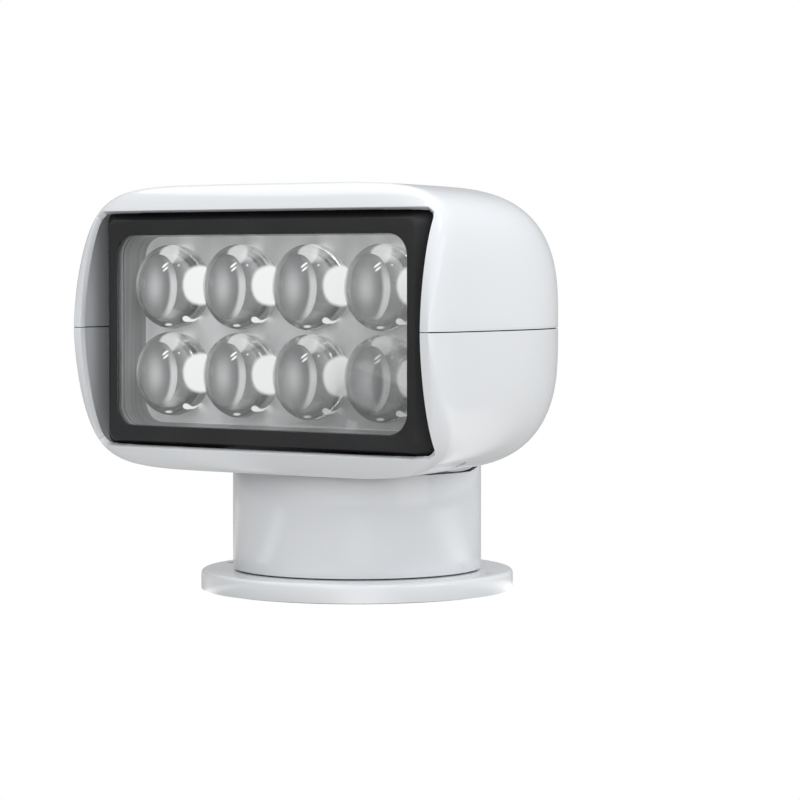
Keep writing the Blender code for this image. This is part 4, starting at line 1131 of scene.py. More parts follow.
    @classmethod
    def soften(
        cls, item: bpy.types.Object, width: float, segments: int = 2, angle: float = 40.0
    ) -> bpy.types.Object:
        """Rounds the sharp edges of a piece.

        Args:
            item: The piece.
            width: The round's width.
            segments: Its segments.
            angle: The least angle of an edge that is rounded, in degrees.

        Returns:
            The piece.
        """
        step = item.modifiers.new("soften", "BEVEL")
        step.width = width
        step.segments = segments
        step.limit_method = "ANGLE"
        step.angle_limit = math.radians(angle)
        step.harden_normals = False
        return cls.apply(item)

    @classmethod
    def smooth(cls, item: bpy.types.Object, angle: float = 35.0) -> bpy.types.Object:
        """Shades a piece smooth where its faces meet at less than an angle.

        Args:
            item: The piece.
            angle: That angle, in degrees.

        Returns:
            The piece.
        """
        cls.only(item)
        bpy.ops.object.shade_smooth_by_angle(angle=math.radians(angle))
        return item

    @classmethod
    def dress(
        cls,
        item: bpy.types.Object,
        body: Body,
        slot: Slot,
        materials: Sequence[bpy.types.Material],
        nodes: Iterable[str] = (),
    ) -> bpy.types.Object:
        """Gives a piece its materials and its body, and hides the CAD nodes that it replaces.

        Args:
            item: The piece.
            body: The body that it rides on.
            slot: The record's slot that it takes its finish from.
            materials: Its materials, the first for every face that has no other.
            nodes: The CAD nodes that it replaces.

        Returns:
            The piece.
        """
        parts = np.zeros(len(item.data.polygons), np.int32)
        item.data.polygons.foreach_get("material_index", parts)
        item.data.materials.clear()
        for material in materials:
            item.data.materials.append(material)
        item.data.polygons.foreach_set("material_index", parts)
        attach(item, body.value)
        nodes = list(nodes)
        if nodes:
            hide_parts(*nodes)
        LOG.info("%s: %d faces on %s", item.name, len(item.data.polygons), body.value)
        return item


# Sub-assemblies


@dataclass
class HeadShells:
    """The two moulded halves of the head, with the window, the recess over the neck and the arm slots."""

    half_width: float = 104.7 * MM
    half_height: float = 65.7 * MM
    middle: float = TILT_HEIGHT
    back: float = 74.0 * MM
    front: float = 85.8 * MM
    front_round: float = 16.5 * MM
    front_power: float = 1.76
    widest: float = 52.4 * MM
    taper_reach: float = 55.3 * MM
    taper_power: float = 4.07
    back_power: float = 2.82
    section_front: float = 6.35
    section_back: float = 2.9
    wall: float = 3.0 * MM
    seam: float = 0.5 * MM
    around: int = 288
    front_rings: int = 26
    side_rings: int = 12
    back_rings: int = 46
    window_half: tuple[float, float] = (96.9 * MM, 54.9 * MM)
    window_corner: float = 5.5 * MM
    window_drop: float = 0.7 * MM
    window_depth: float = 40.0 * MM
    window_steps: int = 16
    lip_round: float = 1.0 * MM
    strip_inset: float = 1.1 * MM
    strip_front: float = -84.2 * MM
    edge_round: float = 0.25 * MM
    sharp: float = 50.0
    smooth: float = 32.0
    slack: float = 0.02 * MM
    floor_slack: float = 0.5 * MM
    lip_back: float = -60.0 * MM
    skirt_outer: float = 58.2 * MM
    skirt_inner: float = 54.8 * MM
    skirt_reach: float = 70.8 * MM
    skirt_clear: float = 66.25 * MM
    skirt_gap: float = 0.3 * MM
    drum_bore: float = DRUM_RADIUS - DRUM_WALL
    skirt_front: float = -12.0 * MM
    skirt_rise: float = 26.0 * MM
    skirt_root: float = 1.8 * MM
    recess_radius: float = 62.0 * MM
    recess_depth: float = 5.7 * MM
    recess_back: float = -4.226 * MM
    recess_steps: int = 160
    slot_inner: float = 41.2 * MM
    slot_outer: float = 46.8 * MM
    slot_front: float = -15.28 * MM
    slot_back: float = 57.0 * MM
    slot_rise: float = 31.0 * MM
    screw_head: float = 3.3 * MM
    screw_shank: float = 1.9 * MM
    screw_post: float = 5.0 * MM
    seat_depth: float = 5.2 * MM
    seat_steps: int = 28
    shank_steps: int = 20
    screws: tuple[tuple[float, float], ...] = ((88.5 * MM, -44.0 * MM), (76.0 * MM, 30.0 * MM))

    def stations(self) -> list[tuple[float, float, float, float]]:
        """The rings of the head from front to back.

        Returns:
            For each ring its distance back, half width, half height and section power.
        """
        knee = self.front - self.front_round
        rings = []
        for i in range(1, self.front_rings + 1):
            angle = math.pi / 2 * i / self.front_rings
            y = -(knee + self.front_round * max(math.cos(angle), 0.0) ** (2 / self.front_power))
            rings.append((y, self.half_height * math.sin(angle) ** (2 / self.front_power)))
        for i in range(1, self.side_rings):
            rings.append((-knee * (1 - i / self.side_rings), self.half_height))
        for i in range(self.back_rings):
            angle = math.pi / 2 * i / self.back_rings
            rings.append((self.back * math.sin(angle), self.half_height * math.cos(angle)))
        stations = []
        for y, height in rings:
            if y > -self.widest:
                share = (y + self.widest) / (self.back + self.widest)
                width = self.half_width * (1 - share**self.back_power) ** (1 / self.back_power)
            else:
                share = (-self.widest - y) / self.taper_reach
                width = self.half_width * (1 - share**self.taper_power) ** (1 / self.taper_power)
            along = (y + self.front) / (self.front + self.back)
            power = self.section_front + (self.section_back - self.section_front) * along
            stations.append((y, width, height, power))
        return stations

    def form(self, name: str) -> bpy.types.Object:
        """The closed form of the head: a ball whose rings are set to the stations.

        Args:
            name: Its name.

        Returns:
            The form.
        """
        stations = self.stations()
        count = len(stations) + 1
        bpy.ops.mesh.primitive_uv_sphere_add(segments=self.around, ring_count=count, radius=1.0)
        item = Bench.named(name)
        mesh = item.data
        flat = np.zeros(len(mesh.vertices) * 3)
        mesh.vertices.foreach_get("co", flat)
        points = flat.reshape(-1, 3)
        ring = np.rint(np.arccos(np.clip(points[:, 2], -1, 1)) / math.pi * count).astype(int)
        angle = np.arctan2(points[:, 1], points[:, 0])
        table = np.array([(-self.front, 0, 0, 2)] + stations + [(self.back, 0, 0, 2)])
        y, width, height, power = table[ring].T
        across, up = np.cos(angle), np.sin(angle)
        reach = (np.abs(across) ** power + np.abs(up) ** power) ** (-1 / power)
        placed = np.stack([width * reach * across, y, self.middle + height * reach * up], axis=1)
        mesh.vertices.foreach_set("co", placed.ravel())
        mesh.update()
        Bench.edit(item, "VERT")
        bpy.ops.mesh.select_all(action="SELECT")
        bpy.ops.mesh.normals_make_consistent(inside=False)
        Bench.done()
        return item

    def past_outline(self, x: float, z: float) -> float:
        """How far a point lies outside the window's outline.

        Args:
            x: Its place across.
            z: Its height.

        Returns:
            The distance, which is negative inside.
        """
        across = abs(x) - (self.window_half[0] - self.window_corner)
        up = abs(z - (self.middle - self.window_drop)) - (self.window_half[1] - self.window_corner)
        outside = math.hypot(max(across, 0.0), max(up, 0.0)) + min(max(across, up), 0.0)
        return outside - self.window_corner

    def round_lip(self, item: bpy.types.Object) -> None:
        """Rounds the lip of the window, and leaves the seam's own edges alone.

        Args:
            item: A half of the head.
        """

        def on_lip(ends: tuple[Vector, Vector]) -> bool:
            """True for an edge of the window's front outline."""
            return all(
                end.y < self.lip_back and abs(self.past_outline(end.x, end.z)) < self.slack for end in ends
            )

        Bench.bevel_edges(item, on_lip, self.lip_round, 4)

    def skin(self) -> bpy.types.Object:
        """The outer face of the head, open at the window.

        Returns:
            The face, with no thickness.
        """
        item = self.form("head_form")
        hole = Bench.slab(
            "window_cut",
            self.window_half,
            self.window_corner,
            -2 * self.front,
            -self.window_depth,
            self.middle - self.window_drop,
            self.window_steps,
        )
        Bench.carve(item, hole)
        limit = -self.window_depth + self.floor_slack

        def in_window(face: bpy.types.MeshPolygon) -> bool:
            """True for a face of the cut's floor or walls."""
            return face.center.y < limit and self.past_outline(face.center.x, face.center.z) < self.slack

        Bench.edit(item, "FACE")
        Bench.done()
        Bench.pick(item, faces=in_window)
        bpy.ops.object.mode_set(mode="EDIT")
        bpy.ops.mesh.delete(type="FACE")
        Bench.done()
        return item

    def strip(self, skin: bpy.types.Object) -> bpy.types.Object:
        """The dark strip in the seam, set back from the outside and from the window's lip.

        Args:
            skin: The whole skin, left as it is.

        Returns:
            The strip.
        """
        item = Bench.double(skin, "seam_strip")
        half = self.seam / 2 - self.slack
        for side in (-1, 1):
            Bench.edit(item, "FACE")
            bpy.ops.mesh.select_all(action="SELECT")
            at = (0.0, 0.0, self.middle + side * half)
            bpy.ops.mesh.bisect(plane_co=at, plane_no=(0.0, 0.0, side), clear_outer=True)
            Bench.done()
        inset = item.modifiers.new("inset", "DISPLACE")
        inset.strength = -self.strip_inset
        inset.mid_level = 0.0
        wall = item.modifiers.new("wall", "SOLIDIFY")
        wall.thickness = self.wall - self.strip_inset
        wall.offset = -1.0
        Bench.apply(item)
        Bench.edit(item, "FACE")
        bpy.ops.mesh.select_all(action="SELECT")
        at = (0.0, self.strip_front, 0.0)
        bpy.ops.mesh.bisect(plane_co=at, plane_no=(0.0, -1.0, 0.0), clear_outer=True, use_fill=True)
        Bench.done()
        return item

    def half(self, skin: bpy.types.Object, name: str, side: int) -> bpy.types.Object:
        """One half of the skin, given its wall and its rounded edges.

        Args:
            skin: The whole skin, left as it is.
            name: The half's name.
            side: 1 for the upper half and -1 for the lower.

        Returns:
            The half.
        """
        item = Bench.double(skin, name)
        Bench.edit(item, "FACE")
        bpy.ops.mesh.select_all(action="SELECT")
        at = (0.0, 0.0, self.middle + side * self.seam / 2)
        bpy.ops.mesh.bisect(plane_co=at, plane_no=(0.0, 0.0, side), clear_inner=True)
        Bench.done()
        wall = item.modifiers.new("wall", "SOLIDIFY")
        wall.thickness = self.wall
        wall.offset = -1.0
        wall.use_even_offset = True
        wall.use_rim = True
        Bench.apply(item)
        return item

    def underside(self, x: float, y: float) -> float:
        """The height of the head's underside at a point in plan.

        Args:
            x: The point's place across.
            y: The point's place back.

        Returns:
            The height.
        """
        stations = self.stations()
        for near, far in zip(stations, stations[1:]):
            if near[0] <= y <= far[0]:
                share = (y - near[0]) / (far[0] - near[0])
                width, height, power = (near[i] + (far[i] - near[i]) * share for i in (1, 2, 3))
                return self.middle - height * (1 - (abs(x) / width) ** power) ** (1 / power)
        return self.middle

    def swept_radius(self, x: float) -> float:
        """How far from the tilt axis the back of the head reaches.

        Args:
            x: The distance from the head's middle.

        Returns:
            The reach at that distance.
        """
        reach = 0.0
        for y, width, height, power in self.stations():
            if y >= 0.0 and abs(x) < width:
                reach = max(reach, math.hypot(y, height * (1 - (abs(x) / width) ** power) ** (1 / power)))
        return reach

    def cut_underside(self, item: bpy.types.Object) -> None:
        """Cuts the recess, the arm slots and the screw seats into the lower half.

        Args:
            item: The lower half.
        """
        bottom = self.middle - self.half_height
        roof = bottom + self.recess_depth
        outer = self.form("outer_limit")
        centre = (0.0, self.recess_back)
        tub_radius = self.recess_radius + self.wall
        tub = Bench.rod("tub", tub_radius, bottom - self.wall, roof + self.wall, centre, self.recess_steps)
        Bench.carve(tub, outer, "INTERSECT", keep=True)
        Bench.carve(item, tub, "UNION")
        skirt = self.skirt(outer)
        places = [(side * x, y) for x, y in self.screws for side in (-1, 1)]
        for x, y in places:
            high = self.middle - self.seam
            post = Bench.rod("post", self.screw_post, bottom, high, (x, y), self.seat_steps)
            Bench.carve(post, outer, "INTERSECT", keep=True)
            Bench.carve(item, post, "UNION")
        bpy.data.objects.remove(outer)
        Bench.carve(item, Bench.rod("recess", self.recess_radius, 0.0, roof, centre, self.recess_steps))
        Bench.carve(item, skirt, "UNION")
        for x, y in places:
            seat = self.underside(x, y) + self.seat_depth
            Bench.carve(item, Bench.rod("seat", self.screw_head, 0.0, seat, (x, y), self.seat_steps))
            low = seat - self.wall
            shank = Bench.rod("shank", self.screw_shank, low, self.middle, (x, y), self.shank_steps)
            Bench.carve(item, shank)
        for side in (-1, 1):
            low, high = sorted((side * self.slot_inner, side * self.slot_outer))
            top = bottom + self.slot_rise
            slot = Bench.block("slot", (low, self.slot_front, 0.0), (high, self.slot_back, top))
            Bench.carve(item, slot)

    def skirt(self, outer: bpy.types.Object) -> bpy.types.Object:
        """The wall under the back of the head that fills the space over the drum as the head tilts.

        Args:
            outer: The closed form of the head, which the skirt hardly enters.

        Returns:
            The skirt.
        """
        bottom = self.middle - self.half_height
        low = bottom - self.wall
        profile = [
            (self.skirt_inner, low),
            (self.skirt_outer, low),
            (self.skirt_outer, bottom + self.skirt_rise),
            (self.skirt_inner, bottom + self.skirt_rise),
        ]
        item = Bench.turned("skirt", profile, (0.0, 0.0, 0.0), Axis.UP, self.recess_steps, True)
        Bench.carve(item, Bench.block("front", (-FAR, -FAR, 0.0), (FAR, self.skirt_front, FAR)))

        def reach(x: float) -> float:
            """How far from the tilt axis the skirt may reach, clear of the drum, its deck and the post."""
            over_wall = math.hypot(self.skirt_clear, math.sqrt(max(0.0, self.drum_bore**2 - x**2)))
            return min(self.swept_radius(x) + self.skirt_gap, over_wall, self.skirt_reach)

        roller = Bench.roller("reach", reach, self.skirt_outer + self.wall, self.middle)
        Bench.carve(item, roller, "INTERSECT")
        inside = Bench.only(Bench.double(outer, "inside"))
        inside.location = (0.0, 0.0, self.skirt_root)
        Bench.carve(item, Bench.named("inside"))
        return item

    def build(self, finishes: Finishes) -> list[bpy.types.Object]:
        """Builds both halves.

        Args:
            finishes: The lamp's materials.

        Returns:
            The pieces.
        """
        skin = self.skin()
        upper = self.half(skin, "upper_moulding", 1)
        lower = self.half(skin, "lower_moulding", -1)
        strip = Bench.smooth(self.strip(skin), self.smooth)
        bpy.data.objects.remove(skin)
        self.cut_underside(lower)
        for item in (upper, lower):
            self.round_lip(item)
            Bench.soften(item, self.edge_round, 2, self.sharp)
            Bench.smooth(item, self.smooth)
        Bench.dress(upper, Body.HEAD, Slot.WHITE, [finishes.white], ["upper_shell"])
        Bench.dress(lower, Body.HEAD, Slot.WHITE, [finishes.white], ["lower_shell"])
        Bench.dress(strip, Body.HEAD, Slot.RUBBER, [finishes.rubber])
        return [upper, lower, strip]


@dataclass
class Window:
    """The black frame, the glass and its polished edge."""

    half: tuple[float, float] = (96.6 * MM, 54.6 * MM)
    outer_middle: float = 122.55 * MM
    corner: float = 5.2 * MM
    face: float = -76.3 * MM
    back: float = -58.8 * MM
    face_half: tuple[float, float] = (87.4 * MM, 50.8 * MM)
    face_middle: float = 121.95 * MM
    chamfer_depth: float = 10.0 * MM
    aperture: tuple[float, float] = (83.3 * MM, 44.2 * MM)
    aperture_corner: float = 10.0 * MM
    border: float = 2.8 * MM
    play: float = 0.3 * MM
    glass_front: float = -75.1 * MM
    glass_back: float = -72.1 * MM
    raised: float = 0.9 * MM
    raised_play: float = 0.15 * MM
    raised_root: float = 1.0 * MM
    seal_depth: float = 1.5 * MM
    frame_round: float = 0.5 * MM
    pane_round: float = 0.5 * MM
    seal_round: float = 0.25 * MM
    corner_steps: int = 16
    frame_steps: int = 10
    frame_sharp: float = 25.0
    sharp: float = 40.0
    smooth: float = 30.0
    slack: float = 0.1 * MM
    middle: float = WINDOW_MIDDLE

    def frame(self) -> bpy.types.Object:
        """The frame: a rounded slab with a chamfered face, opened for the glass.

        Returns:
            The frame.
        """
        front = self.face + self.chamfer_depth
        item = Bench.slab(
            "window_frame", self.half, self.corner, front, self.back, self.outer_middle, self.frame_steps
        )
        Bench.edit(item, "FACE")
        Bench.done()
        Bench.pick(item, faces=lambda f: f.normal.y < -0.9 and abs(f.center.y - front) < self.slack)
        bpy.ops.object.mode_set(mode="EDIT")
        bpy.ops.mesh.extrude_region_move(TRANSFORM_OT_translate={"value": (0.0, -self.chamfer_depth, 0.0)})
        wide, high = (face / size for face, size in zip(self.face_half, self.half))
        pivot = (self.face_middle - high * self.outer_middle) / (1 - high)
        bpy.ops.transform.resize(value=(wide, 1.0, high), center_override=(0.0, self.face, pivot))
        Bench.done()
        Bench.carve(item, self.opening("hole", 0.0, self.aperture_corner, 3 * self.face, 0.0))
        margin, front = self.border + self.play, self.glass_front - self.play
        Bench.carve(item, self.opening("seat", margin, self.pane_corner(), front, 0.0))
        Bench.soften(item, self.frame_round, 3, self.frame_sharp)
        return Bench.smooth(item, self.smooth)

    def pane_corner(self) -> float:
        """The radius of the pane's corners."""
        return self.aperture_corner + self.border

    def opening(self, name: str, margin: float, corner: float, front: float, back: float) -> bpy.types.Object:
        """A slab over the aperture, widened by a margin.

        Args:
            name: Its name.
            margin: How far it reaches past the aperture on each side.
            corner: The radius of its corners.
            front: Its front face's place.
            back: Its back face's place.

        Returns:
            The slab.
        """
        half = tuple(size + margin for size in self.aperture)
        return Bench.slab(name, half, corner, front, back, self.middle, self.corner_steps)

    def glass(self) -> bpy.types.Object:
        """The pane, with a polished chamfer round both faces.

        Returns:
            The pane, whose edges take the second material.
        """
        item = self.opening("window_pane", self.border, self.pane_corner(), self.glass_front, self.glass_back)
        front = self.glass_front - self.raised
        back = self.glass_back - self.raised_root
        raised = self.opening("raised", -self.raised_play, self.aperture_corner, front, back)
        Bench.carve(item, raised, "UNION")
        Bench.soften(item, self.pane_round, 2, self.sharp)
        for polygon in item.data.polygons:
            polygon.material_index = 1 if abs(polygon.normal.y) < 0.9 else 0
        return Bench.smooth(item, self.smooth)

    def seal(self) -> bpy.types.Object:
        """The clear-edged gasket behind the pane.

        Returns:
            The gasket.
        """
        front = self.glass_back + self.play
        back = self.glass_back + self.seal_depth
        item = self.opening("pane_gasket", self.border, self.pane_corner(), front, back)
        Bench.carve(item, self.opening("hole", self.play, self.aperture_corner, -FAR, 0.0))
        Bench.soften(item, self.seal_round, 2, self.sharp)
        return Bench.smooth(item, self.smooth)

    def build(self, finishes: Finishes) -> list[bpy.types.Object]:
        """Builds the frame, the pane and the gasket.

        Args:
            finishes: The lamp's materials.

        Returns:
            The pieces.
        """
        clear = [finishes.glass, finishes.edge]
        return [
            Bench.dress(self.frame(), Body.HEAD, Slot.BLACK, [finishes.frame], ["bezel"]),
            Bench.dress(self.glass(), Body.HEAD, Slot.CLEAR, clear, ["front_glass"]),
            Bench.dress(self.seal(), Body.HEAD, Slot.RUBBER, [finishes.silicone], ["glass_seal"]),
        ]


@dataclass
class Optics:
    """The tray and the eight bulb lenses."""

    half: tuple[float, float] = (86.1 * MM, 47.0 * MM)
    corner: float = 12.8 * MM
    front: float = -70.3 * MM
    back: float = -54.1 * MM
    floor: float = 2.3 * MM
    wall: float = 2.4 * MM
    middle: float = WINDOW_MIDDLE
    pitch: float = LENS_PITCH
    lens_back: float = -56.7 * MM
    well_taper: float = 0.975
    well_round: float = 0.8 * MM
    edge_round: float = 0.3 * MM
    tray_steps: int = 14
    sharp: float = 50.0
    tray_smooth: float = 35.0
    lens_smooth: float = 40.0
    slack: float = 0.1 * MM
    hole: float = 10.0 * MM
    hole_reach: float = 8.0 * MM
    hole_steps: int = 48
    lens_steps: int = 96
    lens_profile: tuple[tuple[float, float], ...] = (
        (0.0, 0.0),
        (9.0, 0.0),
        (17.6, 0.0),
        (18.7, 0.7),
        (19.2, 2.2),
        (19.5, 4.2),
        (19.6, 6.2),
        (19.4, 8.0),
        (18.8, 9.6),
        (17.8, 11.0),
        (16.4, 12.1),
        (14.7, 12.8),
        (12.4, 13.2),
        (8.0, 13.5),
        (0.0, 13.6),
    )
    cap_half: tuple[float, float] = (10.9 * MM, 14.9 * MM)
    cap_root: float = 9.0 * MM
    cap_front: float = 14.9 * MM
    cap_slope: float = 1.7 * MM
    cap_shift: float = -1.6 * MM
    cap_seam: float = -13.0 * MM
    cap_slack: float = 0.02 * MM

    def places(self) -> list[tuple[float, float]]:
        """Where the lenses stand.

        Returns:
            Each one's place across and height, row by row from the top left.
        """
        rows = [self.middle + (0.5 - row) * self.pitch for row in range(2)]
        return [((column - 1.5) * self.pitch, z) for z in rows for column in range(4)]

    def tray(self) -> bpy.types.Object:
        """The silvered tray, with a tapered well and a hole behind each lens.

        Returns:
            The tray.
        """
        item = Bench.slab(
            "reflector_bowl", self.half, self.corner, self.front, self.back, self.middle, self.tray_steps
        )
        floor = self.back - self.floor
        inner = tuple(size - self.wall for size in self.half)
        front = self.front - self.wall
        well = Bench.slab("well", inner, self.corner - self.wall, front, floor, self.middle, self.tray_steps)
        Bench.edit(well, "VERT")
        Bench.done()
        Bench.pick(well, faces=lambda f: f.normal.y > 0.9 and abs(f.center.y - floor) < self.slack)
        bpy.ops.object.mode_set(mode="EDIT")
        taper = (self.well_taper, 1.0, self.well_taper)
        bpy.ops.transform.resize(value=taper, center_override=(0.0, floor, self.middle))
        Bench.done()
        Bench.soften(well, self.well_round, 3, self.sharp)
        Bench.carve(item, well)
        low, high = -self.hole_reach, self.hole_reach
        profile = [(0.0, low), (self.hole, low), (self.hole, high), (0.0, high)]
        for x, z in self.places():
            centre = (x, self.lens_back, z)
            Bench.carve(item, Bench.turned("hole", profile, centre, Axis.FORWARD, self.hole_steps))
        Bench.soften(item, self.edge_round, 2, self.sharp)
        return Bench.smooth(item, self.tray_smooth)

    def lens(self) -> bpy.types.Object:
        """One lens at the origin: a clear bulb that carries a frosted cap.

        Returns:
            The lens, whose cap takes the second material.
        """
        profile = [(radius * MM, height * MM) for radius, height in self.lens_profile]
        item = Bench.turned("bulb_lens_1", profile, (0.0, 0.0, 0.0), Axis.FORWARD, self.lens_steps)
        bpy.ops.mesh.primitive_cylinder_add(
            vertices=self.lens_steps,
            radius=1.0,
            depth=self.cap_front - self.cap_root,
            location=(self.cap_shift, -(self.cap_front + self.cap_root) / 2, 0.0),
            rotation=(math.pi / 2, 0.0, 0.0),
        )
        bpy.context.active_object.scale = (self.cap_half[0], self.cap_half[1], 1.0)
        cap = Bench.named("cap")
        front = -self.cap_front + self.cap_slack / 2
        Bench.bevel_edges(cap, lambda ends: ends[0].y < front and ends[1].y < front, self.cap_slope, 5)
        Bench.carve(item, cap, "UNION")
        wide, high = (size + self.cap_slack for size in self.cap_half)
        for polygon in item.data.polygons:
            centre = polygon.center
            within = ((centre.x - self.cap_shift) / wide) ** 2 + (centre.z / high) ** 2 < 1.0
            polygon.material_index = 1 if within and centre.y < self.cap_seam else 0
        return Bench.smooth(item, self.lens_smooth)

    def build(self, finishes: Finishes) -> list[bpy.types.Object]:
        """Builds the tray and the lenses.

        Args:
            finishes: The lamp's materials.

        Returns:
            The pieces.
        """
        pieces = [Bench.dress(self.tray(), Body.HEAD, Slot.SILVERED, [finishes.silvered], ["reflector_tray"])]
        clear = [finishes.lens, finishes.frost]
        first = self.lens()
        places = self.places()
        copies = [first] + [Bench.double(first, f"bulb_lens_{i + 1}") for i in range(1, len(places))]
        for i, (item, (x, z)) in enumerate(zip(copies, places)):
            Bench.only(item)
            item.location = (x, self.lens_back, z)
            bpy.ops.object.transform_apply(location=True, rotation=True, scale=True)
            pieces.append(Bench.dress(item, Body.HEAD, Slot.CLEAR, clear, [f"lens_{i + 1}"]))
        return pieces


@dataclass
class Neck:
    """The turning drum, whose rear wall rises behind the head."""

    radius: float = DRUM_RADIUS
    wall: float = DRUM_WALL
    foot: float = 10.0 * MM
    top: float = 56.7 * MM
    tall: float = 80.0 * MM
    ledge: float = 4.0 * MM
    deck: float = 47.5 * MM
    edge: float = 0.5 * MM
    gap: float = 0.3 * MM
    running_gap: float = 0.6 * MM
    steps: int = 224
    sharp: float = 50.0
    smooth: float = 32.0
    tilt_z: float = TILT_HEIGHT

    def barrel(self) -> bpy.types.Object:
        """The space over the back of the drum that the tilting head sweeps.

        Returns:
            The cutting body.
        """
        head = HeadShells()
        least = self.tilt_z - self.top + self.gap
        return Bench.roller(
            "saddle_barrel",
            lambda x: max(head.swept_radius(x) + self.running_gap, least),
            self.radius + self.gap,
            self.tilt_z,
        )

    def build(self, finishes: Finishes) -> list[bpy.types.Object]:
        """Builds the drum.

        Args:
            finishes: The lamp's materials.

        Returns:
            The drum, in a list.
        """
        bore = self.radius - self.wall
        profile = [
            (self.radius, self.tall),
            (self.radius, self.foot + self.edge),
            (self.radius - 0.3 * self.edge, self.foot + 0.3 * self.edge),
            (self.radius - self.edge, self.foot),
            (bore, self.foot),
            (bore, self.deck - self.ledge),
            (bore - self.ledge, self.deck - self.ledge / 2),
            (bore - self.ledge, self.deck),
            (bore, self.deck),
            (bore, self.tall),
        ]
        drum = Bench.turned("neck_drum", profile, (0.0, 0.0, 0.0), Axis.UP, self.steps, True)
        Bench.carve(drum, Bench.block("front_cut", (-FAR, -FAR, self.top), (FAR, 0.0, FAR)))
        barrel = self.barrel()
        limit = Bench.block("limit", (-FAR, -self.gap, self.top), (FAR, FAR, 2 * FAR))
        Bench.carve(barrel, limit, "INTERSECT")
        Bench.carve(drum, barrel)
        Bench.soften(drum, self.edge, 3, self.sharp)
        Bench.smooth(drum, self.smooth)
        return [Bench.dress(drum, Body.NECK, Slot.WHITE, [finishes.white], ["neck_housing"])]


@dataclass
class Flange:
    """The round mounting flange with its screws."""

    radius: float = 73.5 * MM
    height: float = 9.5 * MM
    edge: float = 2.0 * MM
    gasket_outer: float = 70.0 * MM
    gasket_width: float = 7.0 * MM
    gasket_deep: float = 2.3 * MM
    lift: float = 0.55 * MM
    gap: float = 0.3 * MM
    hole_circle: float = 44.0 * MM
    hole_radius: float = 2.75 * MM
    hole_depth: float = 7.0 * MM
    first_hole: float = 30.0
    holes: int = 3
    foot_round: float = 0.35 * MM
    foot_cut: float = 0.1 * MM
    plain_share: float = 0.6
    rim_steps: int = 6
    steps: int = 240
    hole_steps: int = 28
    screw_steps: int = 40
    smooth: float = 30.0
    gland: float = 6.3 * MM
    gland_place: float = 42.0 * MM
    screw_angle: float = math.radians(13)
    screw_radius: float = 2.4 * MM
    screw_round: float = 0.5 * MM
    socket_radius: float = 1.25 * MM
    socket_depth: float = 1.6 * MM

    def disc(self) -> bpy.types.Object:
        """The flange: a turned plate with a rounded rim and a groove for the gasket.

        Returns:
            The flange.
        """
        rim = []
        for i in range(self.rim_steps + 1):
            angle = math.pi / 2 * i / self.rim_steps
            radius = self.radius - self.edge * (1 - math.sin(angle))
            rim.append((radius, self.height - self.edge * (1 - math.cos(angle))))
        outer = self.gasket_outer + self.gap
        inner = self.gasket_outer - self.gasket_width - self.gap
        foot, cut = self.foot_round, self.foot_cut
        profile = [
            (0.0, self.height),
            (self.radius * self.plain_share, self.height),
            *rim,
            (self.radius, self.lift + foot),
            (self.radius - cut, self.lift + cut),
            (self.radius - foot, self.lift),
            (outer, self.lift),
            (outer, self.gasket_deep),
            (inner, self.gasket_deep),
            (inner, 0.0),
            (0.0, 0.0),
        ]
        item = Bench.turned("mounting_flange", profile, (0.0, 0.0, 0.0), Axis.UP, self.steps)
        depth = self.hole_depth
        for i in range(self.holes):
            angle = math.radians(self.first_hole + 360.0 * i / self.holes)
            place = (self.hole_circle * math.cos(angle), self.hole_circle * math.sin(angle))
            Bench.carve(item, Bench.rod("hole", self.hole_radius, -depth, depth, place, self.hole_steps))
        place = (0.0, self.gland_place)
        Bench.carve(item, Bench.rod("gland_hole", self.gland, -FAR, FAR, place, self.screw_steps))
        radius = self.screw_radius + self.gap
        for place in self.screw_places():
            bore = Bench.rod("screw_hole", radius, self.height / 2, FAR, place, self.screw_steps)
            Bench.carve(item, bore)
        return Bench.smooth(item, self.smooth)

    def screw_places(self) -> list[tuple[float, float]]:
        """Where the two lock screws stand.

        Returns:
            The place of each in plan.
        """
        circle = (self.radius - self.edge + DRUM_RADIUS) / 2
        return [
            (circle * math.cos(angle), circle * math.sin(angle))
            for angle in (self.screw_angle, self.screw_angle + math.pi)
        ]

    def screw(self, name: str, place: tuple[float, float]) -> bpy.types.Object:
        """A lock screw with a rounded head and a hexagon socket.

        Args:
            name: Its name.
            place: Its place in plan.

        Returns:
            The screw.
        """
        low = self.height / 2 + self.gap
        top = self.height - self.gap
        radius, edge = self.screw_radius, self.screw_round
        profile = [
            (0.0, low),
            (radius, low),
            (radius, top - edge),
            (radius - 0.3 * edge, top - 0.3 * edge),
            (radius - edge, top),
            (0.0, top),
        ]
        item = Bench.turned(name, profile, (*place, 0.0), Axis.UP, self.screw_steps)
        socket = Bench.rod("socket", self.socket_radius, top - self.socket_depth, top + edge, place, 6)
        Bench.carve(item, socket)
        return Bench.smooth(item, self.smooth)

    def build(self, finishes: Finishes) -> list[bpy.types.Object]:
        """Builds the flange and its screws.

        Args:
            finishes: The lamp's materials.

        Returns:
            The pieces.
        """
        pieces = [Bench.dress(self.disc(), Body.BASE, Slot.WHITE, [finishes.white], ["base_flange"])]
        for i, place in enumerate(self.screw_places()):
            screw = self.screw(f"flange_screw_{i + 1}", place)
            node = f"lock_screw_{i + 1}"
            pieces.append(Bench.dress(screw, Body.BASE, Slot.STEEL, [finishes.steel], [node]))
        return pieces


